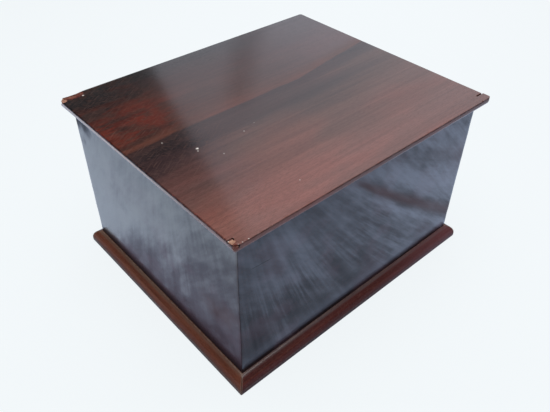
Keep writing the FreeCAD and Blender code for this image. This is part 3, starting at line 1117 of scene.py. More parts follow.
class Rack:
    """Every finish of the box, made once and taken from here."""

    def __init__(self) -> None:
        """Make the finishes."""
        self.make_box_finishes()
        self.make_lid_and_moulding_finishes()
        self.make_plain_finishes()

    def make_box_finishes(self) -> None:
        """Make the finishes of the four side boards."""
        wood = tones(WOOD_TONES, (18, 14, 19), (28, 22, 28), (44, 32, 38))
        streaks = (
            Wisp(12.0, 48.0, 0.31, 0.70, -0.24),
            Wisp(42.5, 2.4, 0.28, 0.50, -0.14),
            Wisp(47.0, 1.5, 0.33, 0.62, 0.24),
            Wisp(49.6, 1.9, 0.28, 0.62, -0.30, 0.75),
            Wisp(54.6, 2.8, 0.34, 0.60, 0.24),
            Wisp(60.0, 3.0, 0.42, 0.62, -0.16, 0.2),
        )
        patches = (
            # Painted shade: a dark patch at the top corner of the left end, just under the lid's edge.
            Blotch((-0.189, 0.224), (-0.166, 0.242), 0.029, -1.25),
            Blotch((-0.108, 0.200), (-0.118, 0.140), 0.022, 0.14),
            Blotch((-0.050, 0.148), (-0.120, 0.055), 0.024, 0.20),
            Blotch((-0.090, 0.170), (-0.086, 0.140), 0.022, -0.16),
            Blotch((0.055, 0.150), (0.060, 0.075), 0.012, 0.14),
            Blotch((0.125, 0.108), (0.165, 0.118), 0.036, -0.12, 0.7),
        )
        self.front_board = BoardMahogany(
            "front_polish", Grain.ALONG_X, **wood, level=(0.82, 0.45, 0.6), wisps=streaks, brushed=0.26,
            combed=0.26, mauve_amount=0.42, split=Split(-0.2022, 0.2043, -0.1684, 0.2017),
        ).make()
        calm = {"level": (0.80, 0.25, 0.8), "brushed": 0.08, "swept": 0.10, "clouded": 0.30, "drift": -14.0}
        self.back_board = BoardMahogany(
            "back_polish", Grain.ALONG_X, **wood, **calm, turn=180, shift=(0.7, 0.4, 0.2)).make()
        self.left_end = BoardMahogany(
            "left_end_polish", Grain.ALONG_Y, **wood, turn=-90, level=(1.20, -0.85, -0.2),
            fall=(-0.250, -0.120, 0.53), fall_ease=3.4, blotches=patches, foot_band_reflection=0.0, mauve_amount=0.45,
            source=(0.060, 0.560), bend=0.0, brushed=0.14, swept=0.12, clouded=0.36, drift=48.0,
            foot=(0.025, 0.045), bloom_reflection=mixed_paint(188, 193, 190),
        ).make()
        self.right_end = BoardMahogany(
            "right_end_polish", Grain.ALONG_Y, **wood, **calm, turn=90, shift=(0.5, 0.1, 0.8)).make()

    def make_lid_and_moulding_finishes(self) -> None:
        """Make the finishes of the lid, which has zones in place of tones, and of the base moulding."""
        self.lid = LidMahogany("lid_polish", Grain.ALONG_X).make()
        red = tones(WOOD_TONES, (80, 40, 38), (106, 52, 48), (124, 67, 62))
        tan = tones(WOOD_TONES, (108, 56, 40), (144, 82, 60), (168, 106, 82))
        self.long_moulding = MouldingMahogany(
            "long_moulding_polish", Grain.ALONG_X, **red, wear=0.35, lines_amount=0.12, haze_amount=0.4,
        ).make()
        self.short_moulding = MouldingMahogany(
            "short_moulding_polish", Grain.ALONG_Y, **tan, wear=0.9, lines_amount=0.6,
            top_highlight=mixed_paint(136, 108, 92), foot_dust=mixed_paint(110, 92, 80),
        ).make()

    def make_plain_finishes(self) -> None:
        """Make the finishes of the unpolished wood and of the metal."""
        pine = tones(WOOD_TONES, (112, 78, 48), (150, 112, 72), (178, 142, 98))
        dry = tones(WOOD_TONES, (70, 42, 30), (104, 66, 46), (136, 92, 66))
        self.inside_long = DryTimber("dry_mahogany_long", Grain.ALONG_X, **dry).make()
        self.inside_short = DryTimber("dry_mahogany_short", Grain.ALONG_Y, **dry).make()
        self.pine_long = DryTimber("pine_long", Grain.ALONG_X, **pine).make()
        self.pine_short = DryTimber("pine_short", Grain.ALONG_Y, **pine).make()
        self.pine_upright = DryTimber("pine_upright", Grain.ALONG_Z, **pine).make()
        brass = tones(METAL_TONES, (212, 168, 92), (128, 92, 50), (56, 44, 28))
        iron = tones(METAL_TONES, (150, 148, 144), (88, 80, 72), (84, 48, 28))
        self.brass = OldMetal("old_brass", tarnish=0.35, **brass).make()
        self.iron = OldMetal("old_iron", tarnish=0.4, smooth=0.34, **iron).make()


# Meshes --------------------------------------------------------------------------------------

@dataclass
class Dot:
    """A point of a section: two distances and how near it is to an arris, from nothing to one."""

    across: float
    up: float
    arris: float = 0.0


def eased_corner(corner: Vector, before: Vector, after: Vector, radius: float, steps: int) -> list[Vector]:
    """Round one corner of an outline.

    Args:
        corner: the corner.
        before: the corner before it.
        after: the corner after it.
        radius: the radius of the round.
        steps: how many parts the round has.

    Returns:
        The points of the round, from the side before to the side after.
    """
    back = (before - corner).normalized()
    on = (after - corner).normalized()
    half = back.angle(on) / 2
    reach = radius / math.tan(half)
    start, stop = corner + back * reach, corner + on * reach
    centre = corner + (back + on).normalized() * (radius / math.sin(half))
    return [centre + spoke for spoke in spokes(start - centre, stop - centre, math.pi - 2 * half, steps)]


def spokes(first: Vector, last: Vector, sweep: float, steps: int) -> list[Vector]:
    """Swing a spoke evenly from the first one to the last.

    Args:
        first: the first spoke.
        last: the last spoke, as long as the first.
        sweep: the angle between them.
        steps: how many parts the swing has.

    Returns:
        The spokes, both ends included.
    """
    spread = []
    for step in range(steps + 1):
        share = step / steps
        swung = first * math.sin((1 - share) * sweep) + last * math.sin(share * sweep)
        spread.append(swung / math.sin(sweep))
    return spread


def section(
    corners: Sequence[tuple[float, float]],
    rounds: Sequence[float],
    sides: Sequence[int],
    steps: int = 4,
    falloff: float = 3 * MM,
) -> list[Dot]:
    """Draw a closed outline with eased corners, anticlockwise.

    Args:
        corners: the sharp corners.
        rounds: the radius at each corner.
        sides: how many parts each side has, the first running from the first corner to the second.
        steps: how many parts each round has.
        falloff: how far from an arris its mark still shows.

    Returns:
        The outline's points.
    """
    places = [Vector((a, b)) for a, b in corners]
    count = len(places)
    eased = [
        eased_corner(places[n], places[n - 1], places[(n + 1) % count], max(rounds[n], 0.01 * MM), steps)
        for n in range(count)
    ]
    dots = []
    for number, corner in enumerate(eased):
        before, after = places[number - 1] - places[number], places[(number + 1) % count] - places[number]
        sharpness = limited((math.pi - before.angle(after)) / math.radians(60))
        dots += [Dot(point.x, point.y, sharpness) for point in corner]
        start, stop = corner[-1], eased[(number + 1) % count][0]
        length = (stop - start).length
        for part in range(1, sides[number]):
            swing = 0.5 - 0.5 * math.cos(math.pi * part / sides[number])
            share = between(part / sides[number], swing, 0.35)
            point = start.lerp(stop, share)
            nearest = min(share, 1 - share) * length
            dots.append(Dot(point.x, point.y, math.exp(-nearest / falloff)))
    return dots


def quarter_round(radius: float, steps: int = 4) -> list[tuple[float, float]]:
    """List how far the points of a quarter round lie below its end and inside its face."""
    swings = [math.pi / 2 * step / steps for step in range(steps + 1)]
    return [(radius * (1 - math.sin(swing)), radius * (1 - math.cos(swing))) for swing in swings]


def stations(
    low: float,
    high: float,
    spacing: float,
    fine: float = 0.0,
    fine_spacing: float = 0.5 * MM,
) -> list[float]:
    """Space stations along a run, closer together within fine of both ends.

    Args:
        low: where the run starts.
        high: where it stops.
        spacing: the distance between stations along its middle.
        fine: the length at each end that has them closer.
        fine_spacing: the distance between stations there.

    Returns:
        The stations in order.
    """
    ends = max(1, round(fine / fine_spacing)) if fine else 0
    middle = max(1, round((high - low - 2 * fine) / spacing))
    run = [low + fine * n / ends for n in range(ends)] if ends else []
    run += [between(low + fine, high - fine, n / middle) for n in range(middle + 1)]
    run += [high - fine + fine * (n + 1) / ends for n in range(ends)] if ends else []
    return run


@dataclass
class Hurt:
    """A place where the wood is damaged."""

    def apply(self, place: Vector) -> tuple[Vector, float, float]:
        """Return the moved place, how bare it is and how much painted shade it takes.

        Args:
            place: the point.

        Returns:
            The moved point, how bare it is and how much painted shade it takes.
        """
        raise NotImplementedError


@dataclass
class Chip(Hurt):
    """A shallow scoop knocked out of an arris or a corner."""

    centre: Place
    size: Place
    push: Place
    bare: float = 1.0
    seed: float = 0.0

    def apply(self, place: Vector) -> tuple[Vector, float, float]:
        """Push points of the scoop inwards, unevenly along the fibres.

        Args:
            place: the point.

        Returns:
            The moved point, how bare it is and how much painted shade it takes.
        """
        offset = place - Vector(self.centre)
        reach = math.sqrt(sum((offset[n] / self.size[n]) ** 2 for n in range(3)))
        ragged = 0.22 * waver(*(place * 700 + Vector((self.seed,) * 3)))
        depth = limited((1.0 + ragged - reach) / 0.45)
        if depth <= 0:
            return place, 0.0, 0.0
        fibre = 0.75 + 0.45 * waver(place.x * 90, place.y * 1300, place.z * 1300 + self.seed)
        return place + Vector(self.push) * (depth * fibre), self.bare * limited(depth * 2.2), 0.0


@dataclass
class Crack(Hurt):
    """A narrow open split along a line of points, seen from above."""

    line: Sequence[tuple[float, float]]
    width: float
    depth: float
    low: float

    def apply(self, place: Vector) -> tuple[Vector, float, float]:
        """Sink points near the line, the more the nearer they are, and paint shade into them.

        Args:
            place: the point.

        Returns:
            The moved point, how bare it is and how much painted shade it takes.
        """
        if place.z < self.low:
            return place, 0.0, 0.0
        flat = Vector((place.x, place.y))
        nearest = 1.0
        for start, stop in zip(self.line, self.line[1:]):
            first, last = Vector(start), Vector(stop)
            run = last - first
            share = limited((flat - first).dot(run) / run.length_squared)
            nearest = min(nearest, (flat - first - run * share).length)
        depth = limited(1 - nearest / self.width)
        # The crack's inside takes painted shade.
        return place - Vector((0, 0, self.depth * depth)), 0.0, limited(depth * 2.0)


class Skin:
    """The closed skin of one piece, laid down ring by ring."""

    def __init__(self, name: str) -> None:
        """Start with no rings.

        Args:
            name: its name.
        """
        self.name = name
        self.places: list[Vector] = []
        self.arrises: list[float] = []
        self.rings = 0

    def ring(self, places: Sequence[Vector], arrises: Sequence[float]) -> None:
        """Add a ring of points.

        Args:
            places: where the points are.
            arrises: how near each of them is to an arris, from nothing to one.
        """
        self.places += places
        self.arrises += arrises
        self.rings += 1

    def close(self, hurts: Sequence[Hurt] = (), turn: Matrix | None = None) -> Piece:
        """Join the rings, close the ends and leave the piece's place in its mesh.

        Args:
            hurts: damage, in the box's own frame.
            turn: where the piece goes, if its rings were laid elsewhere.

        Returns:
            The piece.
        """
        turn = turn or Matrix.Identity(4)
        bare, crack_shade = [], []
        moved = []
        for place in self.places:
            place = turn @ place
            shown, crack_shade_here = 0.0, 0.0
            for hurt in hurts:
                place, more_bare, more_crack_shade = hurt.apply(place)
                shown, crack_shade_here = max(shown, more_bare), max(crack_shade_here, more_crack_shade)
            moved.append(place)
            bare.append(shown)
            crack_shade.append(crack_shade_here)
        count = len(self.places) // self.rings
        faces: list[tuple[int, ...]] = []
        for ring in range(self.rings - 1):
            for dot in range(count):
                following = (dot + 1) % count
                start, stop = ring * count, (ring + 1) * count
                faces.append((start + dot, start + following, stop + following, stop + dot))
        faces.append(tuple(reversed(range(count))))
        faces.append(tuple(range((self.rings - 1) * count, self.rings * count)))
        mesh = bpy.data.meshes.new(self.name)
        mesh.from_pydata([tuple(place) for place in moved], [], faces)
        for name, values in (("arris", self.arrises), ("bare", bare), ("crack_shade", crack_shade)):
            mesh.attributes.new(name, "FLOAT", "POINT").data.foreach_set("value", values)
        work = bmesh.new()
        work.from_mesh(mesh)
        bmesh.ops.recalc_face_normals(work, faces=work.faces)
        work.to_mesh(mesh)
        work.free()
        mesh.shade_smooth()
        mesh.set_sharp_from_angle(angle=SHARP)
        return added(self.name, mesh)


def paint_faces(
    piece: Piece,
    outer: Finish,
    inner: Finish | None = None,
    looking: Vector | None = None,
) -> None:
    """Give a piece its finishes.

    Args:
        piece: the piece.
        outer: the finish of its shown faces.
        inner: the finish of its unpolished faces, if it has any.
        looking: the way that the unpolished faces look.
    """
    piece.data.materials.clear()
    piece.data.materials.append(outer)
    if inner is not None and looking is not None:
        piece.data.materials.append(inner)
        for face in piece.data.polygons:
            face.material_index = int(face.normal.dot(looking) > 0.9)


def carved(piece: Piece, blocks: Sequence[Block]) -> None:
    """Cut square recesses out of a piece, whose mesh is replaced.

    Args:
        piece: the piece.
        blocks: the lowest and highest corner of each recess.
    """
    cutters = []
    for low, high in blocks:
        work = bmesh.new()
        bmesh.ops.create_cube(work, size=1.0)
        for vertex in work.verts:
            vertex.co = Vector((between(low[n], high[n], vertex.co[n] + 0.5) for n in range(3)))
        mesh = bpy.data.meshes.new("recess")
        work.to_mesh(mesh)
        work.free()
        cutters.append(added("recess", mesh))
        step = piece.modifiers.new("recess", "BOOLEAN")
        step.operation = "DIFFERENCE"
        step.solver = "MANIFOLD"
        step.object = cutters[-1]
    keep_evaluated(piece)
    for cutter in cutters:
        bpy.data.objects.remove(cutter)


def keep_evaluated(piece: Piece) -> None:
    """Keep a piece's mesh as its modifiers leave it.

    Args:
        piece: the piece.
    """
    bpy.context.view_layer.update()
    graph = bpy.context.evaluated_depsgraph_get()
    mesh = bpy.data.meshes.new_from_object(piece.evaluated_get(graph))
    mesh.name = piece.name
    piece.modifiers.clear()
    piece.data = mesh
    mesh.set_sharp_from_angle(angle=SHARP)


def settled(piece: Piece, body: str, slot: str, *nodes: str) -> None:
    """Tell the frame which body a piece rides on, and hide the nodes that it stands for.

    Args:
        piece: the piece.
        body: the body that it rides on.
        slot: not used.
        nodes: the CAD nodes that it stands for.
    """
    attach(piece, body)
    if nodes:
        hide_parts(*nodes)
    log.info("%s rides on %s", piece.name, body)


def dressed_node(name: str, finish: Finish) -> None:
    """Give a node that is kept as it is its finish.

    Args:
        name: its name.
        finish: its finish.
    """
    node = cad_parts[name]
    paint_faces(node, finish)
    log.info("%s keeps its shape", node.name)


# Case ----------------------------------------------------------------------------------------

@dataclass(frozen=True)
class HingeFit:
    """Where the two hinges sit, and how the wood is cut away for them."""

    centre: float = 150 * MM
    half: float = 20.1 * MM
    depth: float = 1.6 * MM
    overrun: float = 2 * MM

    def blocks(self, back: tuple[float, float], up: tuple[float, float]) -> list[Block]:
        """Mark out what is cut away at the hinges.

        Args:
            back: where the cuts start and stop, from front to back.
            up: their lowest and highest point.

        Returns:
            A block at each hinge.
        """
        blocks = []
        for side in (-1, 1):
            left, right = side * self.centre - self.half, side * self.centre + self.half
            blocks.append((Vector((left, back[0], up[0])), Vector((right, back[1], up[1]))))
        return blocks


@dataclass(frozen=True)
class Stand:
    """Where a straight piece of the case stands, and the way that it looks."""

    low: Vector
    high: Vector
    half: float
    outward: Vector
    place: Matrix


def stood(node: str, turn: float, forward: float) -> Stand:
    """Find where a straight piece stands.

    Args:
        node: the CAD node that it stands for.
        turn: how far it is turned about the vertical, in degrees.
        forward: how far outside its node's middle its local y = 0 lies.

    Returns:
        Where it stands.
    """
    low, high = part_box(node)
    along_x = abs(math.cos(math.radians(turn))) > 0.5
    half = (high.x - low.x if along_x else high.y - low.y) / 2
    outward = Matrix.Rotation(math.radians(turn), 3, "Z") @ Vector((0, -1, 0))
    face = (low + high) / 2 + outward * forward
    place = Matrix.Translation((face.x, face.y, 0)) @ Matrix.Rotation(math.radians(turn), 4, "Z")
    return Stand(low, high, half, outward, place)


@dataclass
class SideBoard:
    """One mitred side board of the case, its outer face on local y = 0."""

    node: str
    turn: float
    seed: float = 0.0
    opened: float = 0.0
    opened_to: float = 14 * MM
    thickness: float = 12 * MM
    ease: float = 0.45 * MM
    inner_ease: float = 0.15 * MM
    foot_ease: float = 0.3 * MM
    mitre_gap: float = 0.05 * MM
    planing: float = 0.10 * MM
    worn_to: float = 2 * MM
    edge: float = 3 * MM
    spacing: float = 6 * MM

    def section_at(self, half: float, ease: float, gap: float, inset: float) -> list[Dot]:
        """Draw the board's plan.

        Args:
            half: half its length.
            ease: the radius of its outer corners.
            gap: how far each mitre stands back from its neighbour.
            inset: how far every face is drawn in.

        Returns:
            The plan's points, anticlockwise from the left tip.
        """
        back = gap * math.sqrt(2)
        tip, heel = half - back, half - self.thickness - back
        low, high = inset, self.thickness - inset
        corners = [(-tip + inset, low), (tip - inset, low), (heel - inset, high), (-heel + inset, high)]
        rounds = [ease, ease, self.inner_ease, self.inner_ease]
        parts = max(4, round(2 * half / self.spacing))
        return section(corners, rounds, [parts, 4, parts, 4], steps=3, falloff=self.worn_to)

    def build(self, outer: Finish, inner: Finish) -> Piece:
        """Build the board between its node's limits.

        Args:
            outer: the finish of its shown faces.
            inner: the finish of its inside face.

        Returns:
            The board.
        """
        stand = stood(self.node, self.turn, self.thickness / 2)
        foot, top = stand.low.z, stand.high.z
        heights = [(foot, self.foot_ease), (foot + self.foot_ease, 0.0)]
        heights += [(z, 0.0) for z in stations(foot + self.edge, top - self.edge, self.spacing)]
        heights += [(top - down, inset) for down, inset in quarter_round(self.ease)]
        skin = Skin(f"{self.node}_timber")
        for z, inset in heights:
            ragged = 1 + 0.7 * waver(self.seed, z * 60, 3.1)
            gap = self.mitre_gap + self.opened * limited(1 - (top - z) / self.opened_to) ** 2
            dots = self.section_at(stand.half, self.ease * ragged, gap, inset)
            places = []
            for dot in dots:
                planed = self.planing * waver(dot.across * 16 + self.seed, z * 9, dot.up * 40)
                places.append(Vector((dot.across, dot.up + max(0.0, planed) * (1 - dot.arris), z)))
            rim = limited(1 - (top - z) / self.worn_to)
            skin.ring(places, [max(dot.arris, rim) for dot in dots])
        piece = skin.close(turn=stand.place)
        paint_faces(piece, outer, inner, -stand.outward)
        return piece


@dataclass
class GlueBlock:
    """A three-cornered block, sawn by eye and rubbed into a corner of the case."""

    node: str
    turn: float
    seed: float
    clearance: float = 0.02 * MM
    saw_margin: float = 0.4 * MM
    saw_waver: float = 0.35 * MM
    end_ease: float = 0.6 * MM
    heel_round: float = 0.1 * MM
    tip_round: float = 0.9 * MM
    edge: float = 1 * MM
    spacing: float = 5 * MM

    def build(self, finish: Finish) -> Piece:
        """Build the block.

        Args:
            finish: its material.

        Returns:
            The block.
        """
        low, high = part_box(self.node)
        corner = (low.x if self.turn in (0, 270) else high.x, low.y if self.turn in (0, 90) else high.y, 0)
        near, rounds = self.clearance, [self.heel_round, self.tip_round, self.tip_round]
        skin = Skin(f"{self.node}_timber")
        for z in [low.z, *stations(low.z + self.edge, high.z - self.edge, self.spacing), high.z]:
            at_end = self.end_ease if z in (low.z, high.z) else 0.0
            sawn = self.saw_waver * waver(self.seed, z * 45, 0.5)
            reach = high.x - low.x - self.saw_margin - at_end + min(0.0, sawn)
            dots = section([(near, near), (reach, near), (near, reach)], rounds, [5, 8, 5], steps=3)
            skin.ring([Vector((dot.across, dot.up, z)) for dot in dots], [dot.arris for dot in dots])
        piece = skin.close(turn=Matrix.Translation(corner) @ Matrix.Rotation(math.radians(self.turn), 4, "Z"))
        paint_faces(piece, finish)
        return piece


@dataclass
class Case:
    """The four side boards, the bottom board and the glue blocks."""

    rack: Rack
    hinge: HingeFit = HingeFit()
    recess_reach: float = 10.1 * MM
    mitre_opening: float = 0.3 * MM

    def build_boards(self) -> None:
        """Build the side boards, the back one with recesses for the hinge leaves in its top edge."""
        rack = self.rack
        boards = [
            (SideBoard("front_board", 0, 1.7, self.mitre_opening), rack.front_board, rack.inside_long),
            (SideBoard("back_board", 180, 5.2), rack.back_board, rack.inside_long),
            (SideBoard("left_end", -90, 9.4, self.mitre_opening), rack.left_end, rack.inside_short),
            (SideBoard("right_end", 90, 13.8), rack.right_end, rack.inside_short),
        ]
        for board, outer, inner in boards:
            piece = board.build(outer, inner)
            if board.node == "back_board":
                corner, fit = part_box(board.node)[1], self.hinge
                back = (corner.y - self.recess_reach, corner.y + fit.overrun)
                carved(piece, fit.blocks(back, (corner.z - fit.depth, corner.z + fit.overrun)))
            settled(piece, "case", "case_mahogany", board.node)

    def build_blocks(self) -> None:
        """Build the glue blocks."""
        nodes = ("front_left_block", "front_right_block", "back_right_block", "back_left_block")
        for number, node in enumerate(nodes):
            piece = GlueBlock(node, 90 * number, 3.0 * number).build(self.rack.pine_upright)
            settled(piece, "case", "inner_pine", node)

    def build(self) -> None:
        """Build the case."""
        self.build_boards()
        self.build_blocks()
        dressed_node("bottom_board", self.rack.pine_long)


@dataclass
class BaseMoulding:
    """The ovolo moulding round the foot of the case, in four mitred runs."""

    rack: Rack
    height: float = 22 * MM
    projection: float = 14 * MM
    top_flat: float = 1.5 * MM
    foot_height: float = 7 * MM
    ovolo_radius: float = 17 * MM
    foot_round: float = 1 * MM
    mitre_gap: float = 0.12 * MM
    mitre_round: float = 0.55 * MM
    mitre_ease: float = 1 * MM
    mitre_worn_to: float = 1.5 * MM
    least_wear: float = 0.10 * MM
    more_wear: float = 0.14 * MM
    least_softening: float = 0.35 * MM
    more_softening: float = 0.45 * MM
    bruised_softening: float = 0.9 * MM
    dent: float = 0.12 * MM
    dented_from: float = 3 * MM
    spacing: float = 3.5 * MM
    end_band: float = 12 * MM
    end_spacing: float = 0.6 * MM

    def ovolo(self, wear: float) -> list[Vector]:
        """Work out the points of the ovolo, from its top to its foot.

        Args:
            wear: how much is worn off the middle of the curve.

        Returns:
            The points, across and up.
        """
        start, stop = Vector((-self.top_flat, self.height)), Vector((-self.projection, self.foot_height))
        half = (stop - start) / 2
        rise = self.ovolo_radius - math.sqrt(self.ovolo_radius ** 2 - half.length_squared)
        outward = Vector((half.y, -half.x)).normalized()
        centre = start + half + outward * (rise - self.ovolo_radius)
        first, last = start - centre, stop - centre
        points = []
        steps = 16
        for step, spoke in enumerate(spokes(first, last, first.angle(last), steps)):
            worn = wear * math.sin(math.pi * (step / steps)) / self.ovolo_radius
            points.append(centre + spoke * (1 - worn))
        return points

    def profile(self, inset: float, wear: float, soften: float) -> list[Dot]:
        """Draw the moulding's section.

        Args:
            inset: how far the face is drawn in, for the eased mitres.
            wear: how much is worn off the ovolo.
            soften: the radius of the two arrises beside the ovolo.

        Returns:
            The section's points, anticlockwise.
        """
        curve = self.ovolo(wear)
        last = len(curve) - 1
        dots = [Dot(0.0, 0.0), Dot(0.0, self.height * 0.5), Dot(0.0, self.height - soften * 0.3, 0.4)]
        dots.append(Dot(-self.top_flat * 0.5, self.height - soften * 0.15, 0.8))
        for number, point in enumerate(curve):
            at_top, at_foot = limited(1 - number / 2), limited(1 - (last - number) / 2)
            drop = soften * (0.35 * at_top + 0.3 * at_foot)
            arris = max(math.exp(-number / 1.2), math.exp(-(last - number) / 1.2))
            dots.append(Dot(point.x + drop * 0.6, point.y - drop * 0.6, arris))
        for share in (0.25, 0.5, 0.75):
            dots.append(Dot(-self.projection, between(self.foot_height, self.foot_round, share), 0.1))
        dots += [Dot(-self.projection + inward, up, 0.5) for up, inward in quarter_round(self.foot_round)]
        for share in (0.3, 0.6):
            dots.append(Dot(-self.projection * (1 - share), 0.0))
        for dot in dots:
            depth = limited(-dot.across / (2 * MM))
            dot.across += inset * depth
            dot.up -= inset * depth * limited((dot.up - self.foot_height) / (4 * MM))
        return dots

    def build_run(self, node: str, turn: float, finish: Finish, seed: float) -> Piece:
        """Build one run between its node's limits.

        Args:
            node: the CAD node that it stands for.
            turn: how far the run is turned about the vertical, in degrees.
            finish: its material.
            seed: where its wear is read from.

        Returns:
            The run.
        """
        stand = stood(node, turn, -self.projection / 2)
        half = stand.half - self.projection
        whole = half + self.projection
        skin = Skin(f"{node}_run")
        close = (self.end_band / whole, self.end_spacing / whole)
        for station in stations(-1.0, 1.0, self.spacing / whole, *close):
            from_end = (1 - abs(station)) * whole
            rounding = drawn_in(from_end, self.mitre_ease, self.mitre_round)
            rough = max(0.0, waver(station * whole * 22 + seed, seed, 0.0))
            bruise = max(0.0, waver(station * whole * 55 + seed, 7.7, 0.0) - 0.35)
            wear = self.least_wear + self.more_wear * rough
            soften = self.least_softening + self.more_softening * rough + self.bruised_softening * bruise
            dots = self.profile(rounding, wear, soften)
            places = []
            for dot in dots:
                reach = half - dot.across - self.mitre_gap
                dent = self.dent * max(0.0, waver(station * whole * 75, dot.across * 240, seed))
                depth = limited(-dot.across / self.dented_from)
                places.append(Vector((station * reach, dot.across + dent * depth, dot.up)))
            mitre = math.exp(-from_end / self.mitre_worn_to)
            skin.ring(places, [max(dot.arris, mitre * limited(-dot.across / MM)) for dot in dots])
        piece = skin.close(turn=stand.place)
        paint_faces(piece, finish)
        return piece

    def build(self) -> None:
        """Build the four runs."""
        runs = {
            "base_moulding_front": (0, self.rack.long_moulding),
            "base_moulding_back": (180, self.rack.long_moulding),
            "base_moulding_left": (-90, self.rack.short_moulding),
            "base_moulding_right": (90, self.rack.short_moulding),
        }
        for number, (node, (turn, finish)) in enumerate(runs.items()):
            piece = self.build_run(node, turn, finish, 2.3 + 4.1 * number)
            settled(piece, "case", "moulding_mahogany", node)


# Lid -----------------------------------------------------------------------------------------

@dataclass
class Batten:
    """A batten under the lid, chamfered along its lower edges and ends."""

    node: str
    chamfer: float = 3 * MM
    ease: float = 0.3 * MM
    top_ease: float = 0.1 * MM
    end_ease: float = 0.02 * MM
    planing: float = 0.12 * MM
    edge: float = 8 * MM
    spacing: float = 5 * MM

    def build(self, finish: Finish) -> Piece:
        """Build the batten.

        Args:
            finish: its material.

        Returns:
            The batten.
        """
        low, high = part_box(self.node)
        slope, side = self.chamfer, low.z + self.chamfer + 0.1 * MM
        ends = [(low.y, slope), (low.y + slope, 0.0)]
        ends += [(y, 0.0) for y in stations(low.y + self.edge, high.y - self.edge, self.spacing)]
        ends += [(high.y - slope, 0.0), (high.y, slope)]
        skin = Skin(f"{self.node}_timber")
        for y, raised in ends:
            under = low.z + raised + max(0.0, self.planing * waver(y * 40, low.x * 9, 0.0))
            corners = [(low.x + slope - raised, under), (high.x - slope + raised, under), (high.x, side)]
            corners += [(high.x, high.z), (low.x, high.z), (low.x, side)]
            rounds = [self.ease, self.ease, self.ease, self.top_ease, self.top_ease, self.ease]
            rounds = [self.end_ease] * 6 if raised else rounds
            dots = section(corners, rounds, [14, 2, 4, 14, 4, 2], steps=2)
            skin.ring([Vector((dot.across, y, dot.up)) for dot in dots], [dot.arris * 0.6 for dot in dots])
        piece = skin.close()
        paint_faces(piece, finish)
        return piece


